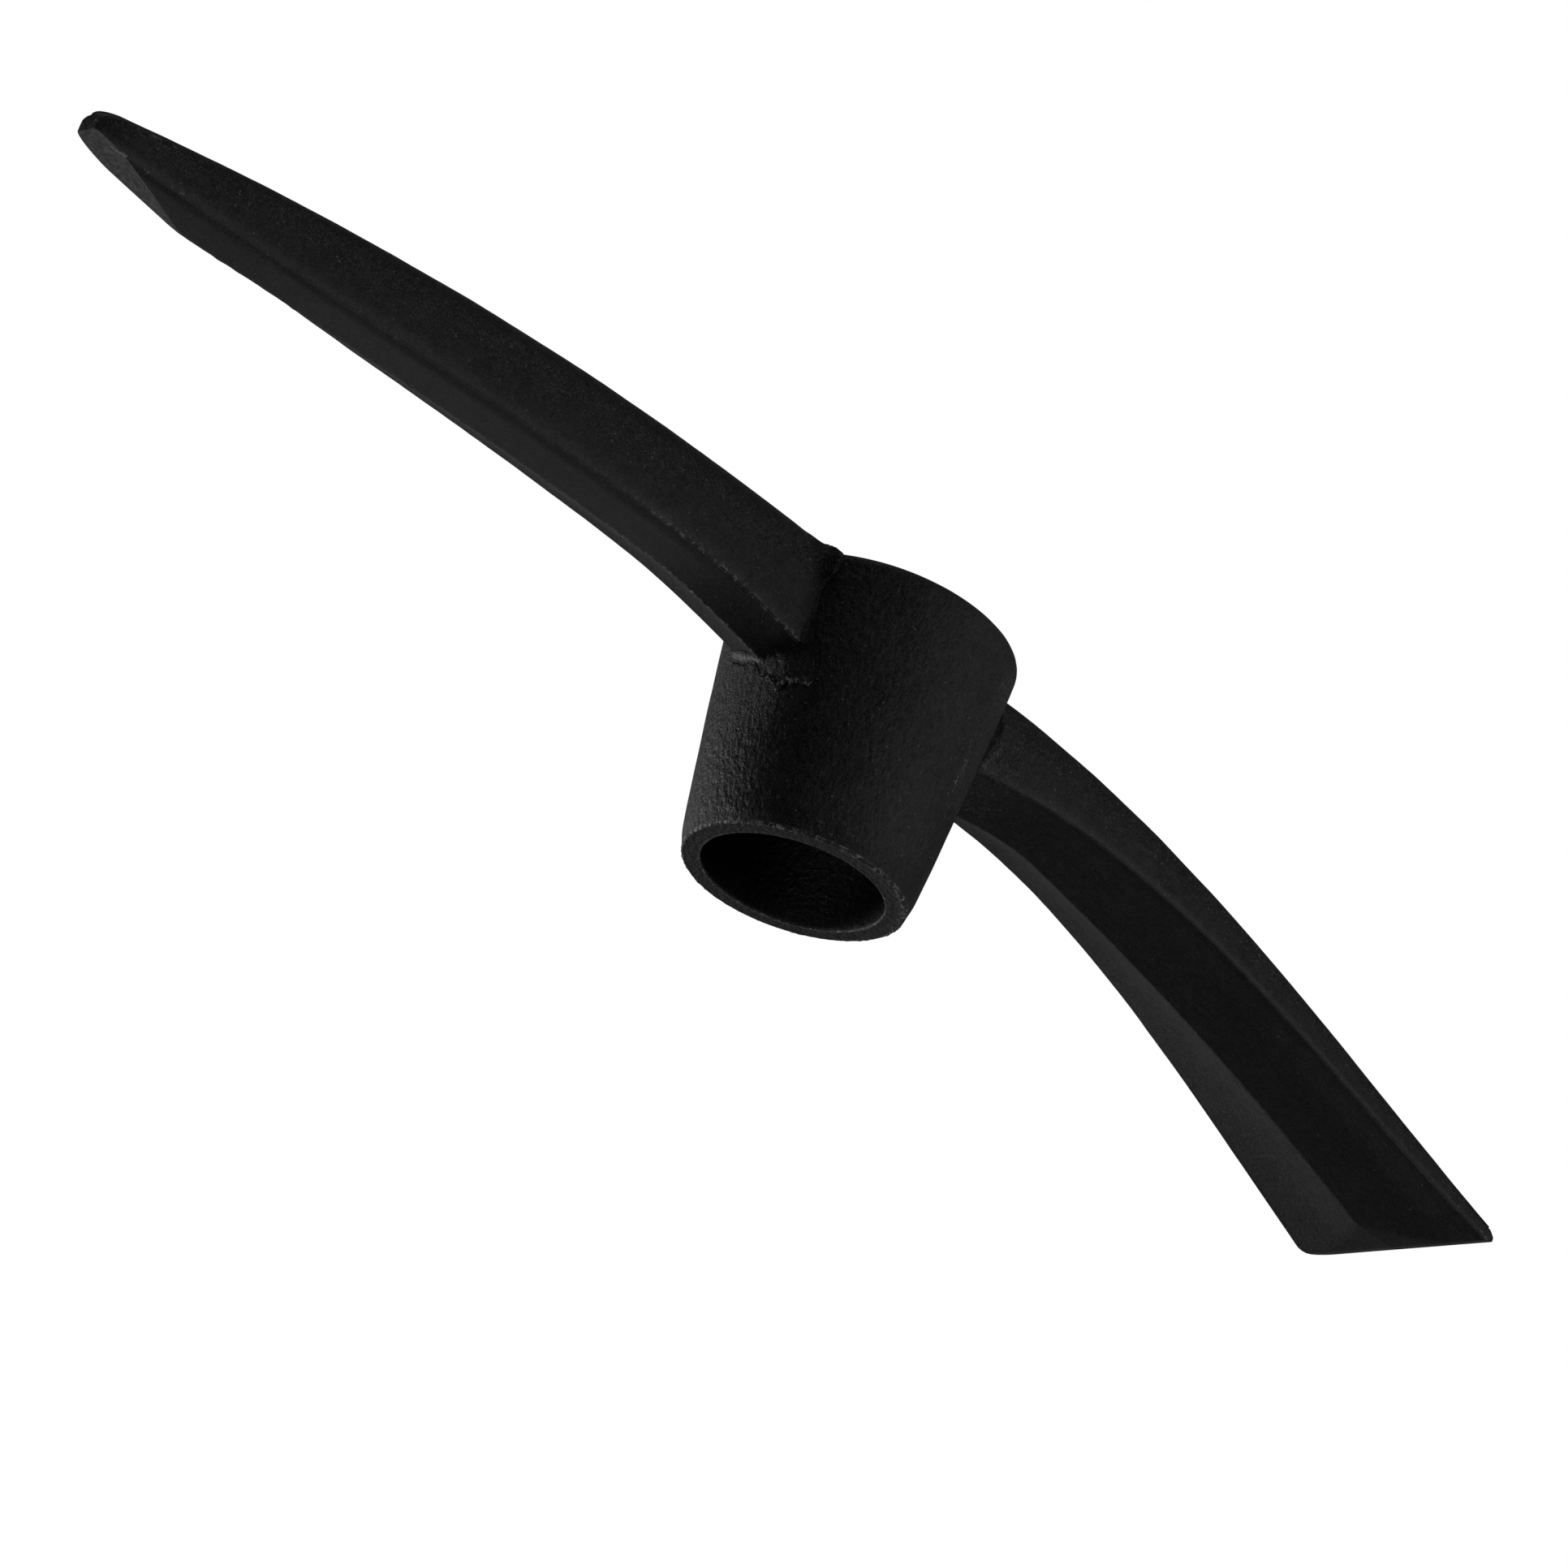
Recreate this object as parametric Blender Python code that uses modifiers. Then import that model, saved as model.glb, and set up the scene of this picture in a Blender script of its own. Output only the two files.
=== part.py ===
"""Head of a pick mattock without its handle.

A tapered round eye carries a long pick arm on one side and a flared chisel arm on the other.
Both arms are forged bars, welded to the wall of the eye under and up the sides of their roots.

The origin is on the axis of the eye, in the plane of its narrow rim. Z points along the eye to its
wide end, where the handle goes in, and X points from the pick arm to the chisel arm. The dies that
forged the arms met in the plane Y = 0, which leaves a ridge along the top and the underside of each.
"""

import math

import bmesh
import bpy
from mathutils import Vector

# Clearance between two pieces that touch
JOINT_GAP = 0.0003

# Eye: a tapered tube, narrow at the bottom
EYE_HEIGHT = 0.0645
EYE_RIM_DIAMETER = 0.050
EYE_HEAD_DIAMETER = 0.0652
EYE_WALL_BULGE = 0.0004
EYE_RIM_BORE = 0.0414
EYE_HEAD_BORE = 0.0540
EYE_RIM_ROUNDING = 0.0006
EYE_HEAD_ROUNDING = 0.0030
EYE_SEGMENTS = 72
ROUNDING_STEPS = 4
WALL_STEPS = 5

# Both arms: distances along them are measured from the axis of the eye, and heights from the plane
# of its head. A lip is how far an arm's top reaches in over the head, where it comes down to it.
TOP_FALL_LENGTH = 0.0042

# Pick arm
PICK_LIP = 0.0050
PICK_REACH = 0.2391
PICK_ROOT_WIDTH = 0.0193
PICK_TIP_WIDTH = 0.0066
PICK_WIDTH_BOW = 0.0014
PICK_TOP_AT_ROOT = 0.0045
PICK_TOP_AT_TIP = -0.0326
PICK_TOP_BOW = 0.0062
PICK_TOP_FALL = 0.0034
PICK_EDGE_AT_ROOT = -0.0212
PICK_EDGE_AT_TIP = -0.0392
PICK_EDGE_BOW = 0.0016
PICK_EDGE_SKEW = 2.3
PICK_EDGE_FLARE = 0.0022
PICK_RIDGE_AT_ROOT = -0.0232
PICK_RIDGE_AT_TIP = -0.0457
PICK_RIDGE_BOW = 0.0025
PICK_RIDGE_FLARE = 0.0037
PICK_FLARE_LENGTH = 0.041
PICK_SHOULDER_AT_ROOT = 0.0077
PICK_SHOULDER_AT_TIP = 0.0025
PICK_SHOULDER_BOW = 0.0027
PICK_SHOULDER_SHARE = 0.80
PICK_CREST = 0.0008
PICK_NOSE_LENGTH = 0.0085
PICK_NOSE_WIDTH_LEFT = 0.35
PICK_NOSE_HEIGHT_LEFT = 0.50
PICK_GRIND_LENGTH = 0.0271
PICK_GRIND_RISE = 0.0031

# Chisel arm
CHISEL_LIP = 0.0046
CHISEL_REACH = 0.2311
CHISEL_ROOT_WIDTH = 0.0254
CHISEL_EDGE_WIDTH = 0.0550
CHISEL_WIDTH_BOW = -0.0004
CHISEL_TOP_AT_ROOT = 0.0023
CHISEL_TOP_AT_EDGE = -0.0278
CHISEL_TOP_BOW = 0.0066
CHISEL_TOP_SKEW = 0.45
CHISEL_TOP_FALL = 0.0018
CHISEL_EDGE_AT_ROOT = -0.0199
CHISEL_EDGE_AT_EDGE = -0.0323
CHISEL_EDGE_BOW = 0.0098
CHISEL_EDGE_SKEW = 0.62
CHISEL_RIDGE_AT_ROOT = -0.0192
CHISEL_RIDGE_AT_EDGE = -0.0380
CHISEL_RIDGE_BOW = 0.0056
CHISEL_RIDGE_FLARE = 0.0079
CHISEL_FLARE_LENGTH = 0.038
CHISEL_SHOULDER_AT_ROOT = 0.0054
CHISEL_SHOULDER_AT_EDGE = 0.0012
CHISEL_CREST = 0.0004
CHISEL_NEAR_CORNER = 0.0012
CHISEL_FAR_CORNER = 0.0065
CHISEL_EDGE_LEAD = 0.0010
CHISEL_LEAD_POWER = 8
CHISEL_EDGE_THICKNESS = 0.0018
CHISEL_UNDER_GRIND_LENGTH = 0.0180
CHISEL_TOP_GRIND_LENGTH = 0.0082

# Weld beads: a fillet under each root and up both its sides
WELD_LEG_ON_ARM = 0.0020
WELD_LEG_ON_EYE = 0.0026
WELD_CROWN = 0.0002
WELD_SIDE_STEPS = 5
WELD_UNDERSIDE_STEPS = 4
SEAT_PASSES = 4

# Fineness of the arms
ROOT_STATIONS = 4
ARM_STATIONS = 30
CORNER_STATIONS = 6
SHOULDER_STEPS = 5
GRIND_BLOCK_OVERHANG = 0.010

# Paint: satin black over forged steel
PAINT_COLOUR = (0.012, 0.012, 0.013)
PAINT_ROUGHNESS = 0.50
WELD_ROUGHNESS = 0.42


# Values worked out from the sizes above
EYE_HEAD_CENTRE = EYE_HEIGHT - EYE_HEAD_ROUNDING
PICK_ROOT = EYE_HEAD_DIAMETER / 2 - PICK_LIP
CHISEL_ROOT = EYE_HEAD_DIAMETER / 2 - CHISEL_LIP
WELD_TOP = EYE_HEAD_CENTRE - JOINT_GAP


def bowed(start, end, bow, share, skew=0.0):
    """Value at a share of the way from start to end, on a line that bows out by bow at its middle."""
    chord = start + (end - start) * share
    return chord + 4.0 * bow * share * (1.0 - share) * (1.0 + skew * (1.0 - 2.0 * share))


def eye_wall_radius(height):
    """Outer radius of the eye's wall, before its ends are rounded."""
    return bowed(EYE_RIM_DIAMETER / 2, EYE_HEAD_DIAMETER / 2, EYE_WALL_BULGE, height / EYE_HEIGHT)


def eye_outer_profile(offset=0.0):
    """Radius and height of the eye's outside, from its head down to its rim, offset outwards."""
    points = []
    head_centre_radius = eye_wall_radius(EYE_HEAD_CENTRE) - EYE_HEAD_ROUNDING
    for step in range(ROUNDING_STEPS + 1):
        angle = math.radians(90.0) * (1.0 - step / ROUNDING_STEPS)
        reach = EYE_HEAD_ROUNDING + offset
        points.append((head_centre_radius + reach * math.cos(angle),
                       EYE_HEAD_CENTRE + reach * math.sin(angle)))
    for step in range(1, WALL_STEPS):
        height = EYE_HEAD_CENTRE + (EYE_RIM_ROUNDING - EYE_HEAD_CENTRE) * step / WALL_STEPS
        points.append((eye_wall_radius(height) + offset, height))
    rim_centre_radius = eye_wall_radius(EYE_RIM_ROUNDING) - EYE_RIM_ROUNDING
    for step in range(ROUNDING_STEPS // 2 + 1):
        angle = math.radians(90.0) * step / (ROUNDING_STEPS // 2)
        reach = EYE_RIM_ROUNDING + offset
        points.append((rim_centre_radius + reach * math.cos(angle),
                       EYE_RIM_ROUNDING - reach * math.sin(angle)))
    return points


def new_material(name, roughness):
    material = bpy.data.materials.new(name)
    material.use_nodes = True
    shader = material.node_tree.nodes["Principled BSDF"]
    shader.inputs["Base Color"].default_value = (*PAINT_COLOUR, 1.0)
    shader.inputs["Roughness"].default_value = roughness
    shader.inputs["Metallic"].default_value = 0.0
    return material


def new_object(name, bm, collection, material=None):
    mesh = bpy.data.meshes.new(name)
    bm.to_mesh(mesh)
    bm.free()
    obj = bpy.data.objects.new(name, mesh)
    collection.objects.link(obj)
    if material is not None:
        mesh.materials.append(material)
    return obj


def turn(obj, steps=EYE_SEGMENTS):
    """Revolve an object's profile about Z."""
    screw = obj.modifiers.new("Turned", "SCREW")
    screw.steps = steps
    screw.render_steps = steps
    screw.use_merge_vertices = True
    screw.merge_threshold = 0.00001
    screw.use_smooth_shade = True


def turned_object(name, points, closed, collection, material=None):
    """Turn a profile of radius and height pairs into a body about Z."""
    bm = bmesh.new()
    verts = [bm.verts.new((radius, 0.0, height)) for radius, height in points]
    for first, second in zip(verts, verts[1:]):
        bm.edges.new((first, second))
    if closed:
        bm.edges.new((verts[-1], verts[0]))
    obj = new_object(name, bm, collection, material)
    turn(obj)
    return obj


def shade_round(obj, angle_degrees=30.0):
    """Shade smooth, but keep edges sharper than the angle crisp."""
    obj.data.shade_smooth()
    obj.data.set_sharp_from_angle(angle=math.radians(angle_degrees))


def make_eye(collection, material):
    bore = [(EYE_RIM_BORE / 2, 0.0), (EYE_HEAD_BORE / 2, EYE_HEIGHT)]
    return turned_object("eye_socket", eye_outer_profile() + bore, True, collection, material)


def make_eye_cutter(cutters):
    """Solid body of the eye's outside plus the joint gap, to cut the arms' roots to the wall."""
    profile = [(0.0, EYE_HEIGHT + JOINT_GAP)] + eye_outer_profile(JOINT_GAP) + [(0.0, -JOINT_GAP)]
    cutter = turned_object("eye_cutter", profile, False, cutters)
    hide_cutter(cutter)
    return cutter


def hide_cutter(cutter):
    cutter.hide_render = True
    cutter.display_type = "WIRE"


def cut(obj, cutter, name):
    boolean = obj.modifiers.new(name, "BOOLEAN")
    boolean.operation = "DIFFERENCE"
    boolean.object = cutter


def half_section(half_width, ridge, edge, side_top, shoulder_width, crest, top):
    """One half of an arm's section, as (distance from the centre plane, height), ridge to top."""
    points = [(0.0, ridge), (half_width, edge)]
    shoulder_top = top - crest
    for step in range(SHOULDER_STEPS + 1):
        angle = math.radians(90.0) * step / SHOULDER_STEPS
        points.append((half_width - shoulder_width * (1.0 - math.cos(angle)),
                       side_top + (shoulder_top - side_top) * math.sin(angle)))
    points.append((0.0, top))
    return [(y, EYE_HEIGHT + z) for y, z in points]


def root_share(distance, root, length):
    """One at the root of an arm, falling to nothing at a length from it."""
    return max(0.0, 1.0 - (distance - root) / length) ** 1.5


def pick_half_section(distance):
    share = (distance - PICK_ROOT) / (PICK_REACH - PICK_ROOT)
    half_width = bowed(PICK_ROOT_WIDTH / 2, PICK_TIP_WIDTH / 2, PICK_WIDTH_BOW, share)
    top = bowed(PICK_TOP_AT_ROOT, PICK_TOP_AT_TIP, PICK_TOP_BOW, share)
    top -= PICK_TOP_FALL * root_share(distance, PICK_ROOT, TOP_FALL_LENGTH)
    flare = root_share(distance, PICK_ROOT, PICK_FLARE_LENGTH)
    edge = bowed(PICK_EDGE_AT_ROOT, PICK_EDGE_AT_TIP, PICK_EDGE_BOW, share, PICK_EDGE_SKEW)
    edge -= PICK_EDGE_FLARE * flare
    ridge = bowed(PICK_RIDGE_AT_ROOT, PICK_RIDGE_AT_TIP, PICK_RIDGE_BOW, share)
    ridge -= PICK_RIDGE_FLARE * flare
    shoulder = bowed(PICK_SHOULDER_AT_ROOT, PICK_SHOULDER_AT_TIP, PICK_SHOULDER_BOW, share)
    return half_section(half_width, ridge, edge, top - shoulder,
                        half_width * PICK_SHOULDER_SHARE, PICK_CREST, top)


def chisel_half_section(distance):
    share = (distance - CHISEL_ROOT) / (CHISEL_REACH - CHISEL_ROOT)
    half_width = bowed(CHISEL_ROOT_WIDTH / 2, CHISEL_EDGE_WIDTH / 2, CHISEL_WIDTH_BOW, share)
    top = bowed(CHISEL_TOP_AT_ROOT, CHISEL_TOP_AT_EDGE, CHISEL_TOP_BOW, share, CHISEL_TOP_SKEW)
    top -= CHISEL_TOP_FALL * root_share(distance, CHISEL_ROOT, TOP_FALL_LENGTH)
    edge = bowed(CHISEL_EDGE_AT_ROOT, CHISEL_EDGE_AT_EDGE, CHISEL_EDGE_BOW, share, CHISEL_EDGE_SKEW)
    ridge = bowed(CHISEL_RIDGE_AT_ROOT, CHISEL_RIDGE_AT_EDGE, CHISEL_RIDGE_BOW, share)
    ridge -= CHISEL_RIDGE_FLARE * root_share(distance, CHISEL_ROOT, CHISEL_FLARE_LENGTH)
    shoulder = bowed(CHISEL_SHOULDER_AT_ROOT, CHISEL_SHOULDER_AT_EDGE, 0.0, share)
    return half_section(half_width, ridge, edge, top - shoulder, shoulder, CHISEL_CREST, top)


def ring_from_half(x, half, near_scale=1.0, far_scale=1.0):
    """Close a half section round the centre plane: down the near side and back up the far one."""
    near = [Vector((x, -y * near_scale, z)) for y, z in half]
    far = [Vector((x, y * far_scale, z)) for y, z in half[1:-1]]
    return near + far[::-1]


def loft(name, rings, collection, material):
    """Skin rings of the same number of points, and close both ends."""
    bm = bmesh.new()
    loops = [[bm.verts.new(point) for point in ring] for ring in rings]
    count = len(loops[0])
    for first, second in zip(loops, loops[1:]):
        for index in range(count):
            after = (index + 1) % count
            bm.faces.new((first[index], first[after], second[after], second[index]))
    bm.faces.new(loops[0])
    bm.faces.new(loops[-1][::-1])
    bmesh.ops.recalc_face_normals(bm, faces=bm.faces)
    return new_object(name, bm, collection, material)


def even_stations(start, end, count):
    return [start + (end - start) * index / count for index in range(count + 1)]


def arm_stations(root, end):
    """Distances of the sections along an arm, close together where its top falls to the eye."""
    fall_end = root + TOP_FALL_LENGTH
    return even_stations(root, fall_end, ROOT_STATIONS)[:-1] + even_stations(fall_end, end, ARM_STATIONS)


def make_pick_arm(collection, cutters, eye_cutter, material):
    nose_start = PICK_REACH - PICK_NOSE_LENGTH
    rings = [ring_from_half(-u, pick_half_section(u)) for u in arm_stations(PICK_ROOT, nose_start)]
    for step in range(1, CORNER_STATIONS + 1):
        angle = math.radians(90.0) * step / CORNER_STATIONS
        distance = nose_start + PICK_NOSE_LENGTH * math.sin(angle)
        half = pick_half_section(distance)
        middle = (half[0][1] + half[-1][1]) / 2
        narrowing = PICK_NOSE_WIDTH_LEFT + (1.0 - PICK_NOSE_WIDTH_LEFT) * math.cos(angle)
        lowering = PICK_NOSE_HEIGHT_LEFT + (1.0 - PICK_NOSE_HEIGHT_LEFT) * math.cos(angle)
        half = [(y * narrowing, middle + (z - middle) * lowering) for y, z in half]
        rings.append(ring_from_half(-distance, half))
    arm = loft("pick_arm", rings, collection, material)
    grind_start = PICK_REACH - PICK_GRIND_LENGTH
    ridge = pick_half_section(grind_start)[0][1]
    grind = grinding_block("pick_tip_grind", (-grind_start, ridge), (-PICK_REACH, ridge + PICK_GRIND_RISE),
                           -1, cutters)
    cut(arm, eye_cutter, "Root fitted to the eye")
    cut(arm, grind, "Tip ground underneath")
    return arm


def corner_scale(from_edge, radius, half_width):
    """Share of the half width left at a distance from a cutting edge with a rounded corner."""
    if from_edge >= radius:
        return 1.0
    inset = radius - math.sqrt(radius ** 2 - (radius - from_edge) ** 2)
    return (half_width - inset) / half_width


def make_chisel_arm(collection, cutters, eye_cutter, material):
    corner_start = CHISEL_REACH - CHISEL_FAR_CORNER
    distances = arm_stations(CHISEL_ROOT, corner_start)
    for step in range(1, CORNER_STATIONS + 1):
        angle = math.radians(90.0) * step / CORNER_STATIONS
        distances.append(corner_start + CHISEL_FAR_CORNER * math.sin(angle))
    rings = []
    for distance in distances:
        half = chisel_half_section(distance)
        half_width = half[1][0]
        from_edge = CHISEL_REACH - distance
        near = corner_scale(from_edge, CHISEL_NEAR_CORNER, half_width)
        far = corner_scale(from_edge, CHISEL_FAR_CORNER, half_width)
        lead = CHISEL_EDGE_LEAD * (distance / CHISEL_REACH) ** CHISEL_LEAD_POWER
        rings.append([Vector((x + lead * y / half_width, y, z))
                      for x, y, z in ring_from_half(distance, half, near, far)])
    arm = loft("chisel_arm", rings, collection, material)
    edge = chisel_half_section(CHISEL_REACH)[1][1]
    under_start = CHISEL_REACH - CHISEL_UNDER_GRIND_LENGTH
    ridge = chisel_half_section(under_start)[0][1]
    under = grinding_block("chisel_under_grind", (under_start, ridge), (CHISEL_REACH, edge), -1, cutters)
    top_start = CHISEL_REACH - CHISEL_TOP_GRIND_LENGTH
    top = chisel_half_section(top_start)[-1][1]
    above = grinding_block("chisel_top_grind", (top_start, top), (CHISEL_REACH, edge + CHISEL_EDGE_THICKNESS),
                           1, cutters)
    cut(arm, eye_cutter, "Root fitted to the eye")
    cut(arm, under, "Edge ground underneath")
    cut(arm, above, "Edge ground on top")
    return arm


def grinding_block(name, start, end, side, cutters):
    """Block with one face through two (x, z) points, over the stock below (-1) or above (1) them."""
    run, rise = end[0] - start[0], end[1] - start[1]
    length = math.hypot(run, rise)
    depth = GRIND_BLOCK_OVERHANG * side / 2
    tilt = math.atan(rise / run)
    centre = ((start[0] + end[0]) / 2 - depth * math.sin(tilt), 0.0,
              (start[1] + end[1]) / 2 + depth * math.cos(tilt))
    bpy.ops.mesh.primitive_cube_add(size=1.0, location=centre, rotation=(0.0, -tilt, 0.0))
    block = bpy.context.object
    block.name = name
    block.scale = (length + 2 * GRIND_BLOCK_OVERHANG, CHISEL_EDGE_WIDTH + 2 * GRIND_BLOCK_OVERHANG,
                   GRIND_BLOCK_OVERHANG)
    for owner in block.users_collection:
        owner.objects.unlink(block)
    cutters.objects.link(block)
    hide_cutter(block)
    return block


def weld_outline(half):
    """Points of an arm's section and their outward normals, from one weld end round to the other."""
    ridge, edge = half[0], half[1]
    slope = math.atan2(edge[1] - ridge[1], edge[0] - ridge[0])
    corner_angle = (slope - math.radians(90.0)) / 2
    outline = []
    for step in range(WELD_SIDE_STEPS):
        height = WELD_TOP + (edge[1] - WELD_TOP) * step / WELD_SIDE_STEPS
        outline.append(((edge[0], height), (1.0, 0.0)))
    outline.append((edge, (math.cos(corner_angle), math.sin(corner_angle))))
    for step in range(1, WELD_UNDERSIDE_STEPS):
        share = step / WELD_UNDERSIDE_STEPS
        point = (edge[0] + (ridge[0] - edge[0]) * share, edge[1] + (ridge[1] - edge[1]) * share)
        outline.append((point, (math.sin(slope), -math.cos(slope))))
    outline.append((ridge, (0.0, -1.0)))
    near = [((-y, z), (-normal_y, normal_z)) for (y, z), (normal_y, normal_z) in outline]
    return near + outline[-2::-1]


def on_eye_wall(y, z, side):
    """Point on the eye's wall, a joint gap off it, on the side of X that the sign gives."""
    radius = eye_wall_radius(z) + JOINT_GAP
    return Vector((side * math.sqrt(radius ** 2 - y ** 2), y, z))


def make_weld(name, half_section_at, side, collection, material):
    """Fillet bead between the eye's wall and the underside and sides of an arm's root."""
    rings = []
    seat = eye_wall_radius(WELD_TOP)
    for index in range(len(weld_outline(half_section_at(seat)))):
        distance = seat
        for _ in range(SEAT_PASSES):
            (y, z), (normal_y, normal_z) = weld_outline(half_section_at(distance))[index]
            corner = on_eye_wall(y + normal_y * JOINT_GAP, z + normal_z * JOINT_GAP, side)
            distance = abs(corner.x)
        distance += WELD_LEG_ON_ARM
        (y, z), (normal_y, normal_z) = weld_outline(half_section_at(distance))[index]
        toe_on_arm = Vector((side * distance, y + normal_y * JOINT_GAP, z + normal_z * JOINT_GAP))
        toe_on_eye = on_eye_wall(corner.y + normal_y * WELD_LEG_ON_EYE,
                                 corner.z + normal_z * WELD_LEG_ON_EYE, side)
        outward = Vector((side, normal_y, normal_z)).normalized()
        face = (toe_on_arm + toe_on_eye) / 2 + outward * WELD_CROWN
        rings.append([corner, toe_on_arm, face, toe_on_eye])
    bead = loft(name, rings, collection, material)
    shade_round(bead, 50.0)
    return bead


def clear_scene():
    for obj in list(bpy.data.objects):
        bpy.data.objects.remove(obj, do_unlink=True)


def main():
    clear_scene()
    parts = bpy.data.collections.new("pick_mattock_head")
    cutters = bpy.data.collections.new("cutters")
    bpy.context.scene.collection.children.link(parts)
    bpy.context.scene.collection.children.link(cutters)
    eye_cutter = make_eye_cutter(cutters)
    make_eye(parts, new_material("eye_paint", PAINT_ROUGHNESS))
    pick = make_pick_arm(parts, cutters, eye_cutter, new_material("pick_paint", PAINT_ROUGHNESS))
    chisel = make_chisel_arm(parts, cutters, eye_cutter, new_material("chisel_paint", PAINT_ROUGHNESS))
    pick_bead_paint = new_material("pick_weld_paint", WELD_ROUGHNESS)
    chisel_bead_paint = new_material("chisel_weld_paint", WELD_ROUGHNESS)
    make_weld("pick_root_weld", pick_half_section, -1, parts, pick_bead_paint)
    make_weld("chisel_root_weld", chisel_half_section, 1, parts, chisel_bead_paint)
    for arm in (pick, chisel):
        shade_round(arm)


main()
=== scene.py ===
"""Looks of a pick mattock head: forged steel under satin black, seen from below."""

import math

import bmesh
import bpy
from mathutils import Matrix, Vector, noise


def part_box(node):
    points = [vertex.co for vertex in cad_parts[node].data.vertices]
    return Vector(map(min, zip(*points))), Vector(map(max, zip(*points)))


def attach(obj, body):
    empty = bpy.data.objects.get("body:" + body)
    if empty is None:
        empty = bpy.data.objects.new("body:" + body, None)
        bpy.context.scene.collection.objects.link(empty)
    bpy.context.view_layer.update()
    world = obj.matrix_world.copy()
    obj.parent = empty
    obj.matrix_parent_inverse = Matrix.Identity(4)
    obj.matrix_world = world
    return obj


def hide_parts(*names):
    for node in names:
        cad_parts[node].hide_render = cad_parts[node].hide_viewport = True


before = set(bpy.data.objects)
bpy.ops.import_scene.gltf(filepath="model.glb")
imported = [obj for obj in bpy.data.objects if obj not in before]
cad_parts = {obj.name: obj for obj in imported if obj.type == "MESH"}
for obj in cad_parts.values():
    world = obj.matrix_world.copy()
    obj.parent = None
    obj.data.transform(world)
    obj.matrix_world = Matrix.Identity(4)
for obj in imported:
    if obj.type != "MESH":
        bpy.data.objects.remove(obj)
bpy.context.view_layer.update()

MM = 0.001

# The eye's own sizes, in metres, in its frame: its rim lies at height 0
EYE_LOW, EYE_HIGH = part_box("eye_socket")
EYE_HEIGHT = EYE_HIGH[2] - EYE_LOW[2]
EYE_RIM_RADIUS = 25.0 * MM
EYE_HEAD_RADIUS = 32.45 * MM
EYE_WALL_BULGE = 0.4 * MM
EYE_RIM_FULLNESS = 0.5 * MM
EYE_FULL_HEIGHT = 5.0 * MM
EYE_RIGHT_BULGE = 0.5 * MM
EYE_RIM_BORE_RADIUS = 20.7 * MM
EYE_HEAD_BORE_RADIUS = 27.0 * MM
EYE_HEAD_ROUNDING = 3.0 * MM
EYE_RIM_ROUNDING = 0.5 * MM
EYE_BORE_ROUNDING = 0.3 * MM
EYE_RIM_INSET = 0.4 * MM
EYE_SIDES = 360
EYE_WALL_CUTS = 80
RING_NEAR = 0.1 * MM

# Lines from rim to head that part the eye's outside from its bore, for its shape and for its tone
EYE_OUTSIDE = (21.465 * MM, 27.189 * MM, 0.0, 0.0)
EYE_WALL_SIDE = (22.85 * MM, 28.0 * MM, 0.0, 0.0)

# Where the arms start, inside the wall of the eye, and how far they reach
ROOT_INSIDE = 27.4 * MM
PICK_ROOT = -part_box("pick_arm")[1][0]
PICK_REACH = -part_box("pick_arm")[0][0] - 0.5 * MM
CHISEL_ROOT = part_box("chisel_arm")[0][0]
CHISEL_REACH = 231.0 * MM

# Lines along an arm: value at the root, value at the end, bow in the middle, lean of the bow
PICK_HALF_WIDTH = (9.65 * MM, 3.3 * MM, 1.4 * MM, 0.0)
PICK_TOP = (4.5 * MM, -32.3 * MM, 6.4 * MM, 0.0)
PICK_EDGE = (-21.2 * MM, -39.2 * MM, 1.6 * MM, 2.3)
PICK_RIDGE = (-23.2 * MM, -46.0 * MM, 2.7 * MM, 0.5)
PICK_SHOULDER = (7.7 * MM, 2.5 * MM, 2.7 * MM, 0.0)
PICK_FLARE_LENGTH = 41.0 * MM
PICK_EDGE_FLARE = 2.2 * MM
PICK_RIDGE_FLARE = 3.7 * MM
PICK_SHOULDER_SHARE = 0.80
PICK_CREST = 0.8 * MM
PICK_NOSE_LENGTH = 6.5 * MM
PICK_NOSE_WIDTH_LEFT = 0.68
PICK_NOSE_HEIGHT_LEFT = 0.62
PICK_NOSE_CENTRE = 0.62
PICK_GRIND_LENGTH = 29.0 * MM
PICK_GRIND_RISE = 3.9 * MM

CHISEL_HALF_WIDTH = (12.7 * MM, 27.3 * MM, -0.3 * MM, 0.0)
CHISEL_TOP = (2.3 * MM, -29.2 * MM, 7.7 * MM, 0.40)
CHISEL_EDGE = (-19.9 * MM, -32.8 * MM, 9.9 * MM, 0.62)
CHISEL_RIDGE = (-19.2 * MM, -38.0 * MM, 5.6 * MM, 0.0)
CHISEL_SHOULDER = (5.4 * MM, 1.2 * MM, 0.0, 0.0)
CHISEL_FLARE_LENGTH = 38.0 * MM
CHISEL_RIDGE_FLARE = 7.9 * MM
CHISEL_CREST = 0.4 * MM
CHISEL_NEAR_CORNER = 0.6 * MM
CHISEL_FAR_CORNER = 5.5 * MM
CHISEL_CORNER_STRETCH = 1.6
CHISEL_EDGE_LEAD = 0.3 * MM
CHISEL_EDGE_DIP = 1.1 * MM
CHISEL_SKEW_POWER = 8
CHISEL_EDGE_THICKNESS = 1.4 * MM
CHISEL_UNDER_GRIND = 18.0 * MM
CHISEL_TOP_GRIND = 3.0 * MM
CHISEL_HONE = 2.6 * MM
CHISEL_HONE_RISE = 0.9 * MM
GRIND_SOFTNESS = 0.5 * MM

# Gaps from the wall of the eye between which an arm's top comes down to its head, and how far it sinks in
PICK_LIP = (2.4 * MM, -2.6 * MM)
CHISEL_LIP = (1.0 * MM, -2.0 * MM)
LIP_SINK = 0.3 * MM

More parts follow.
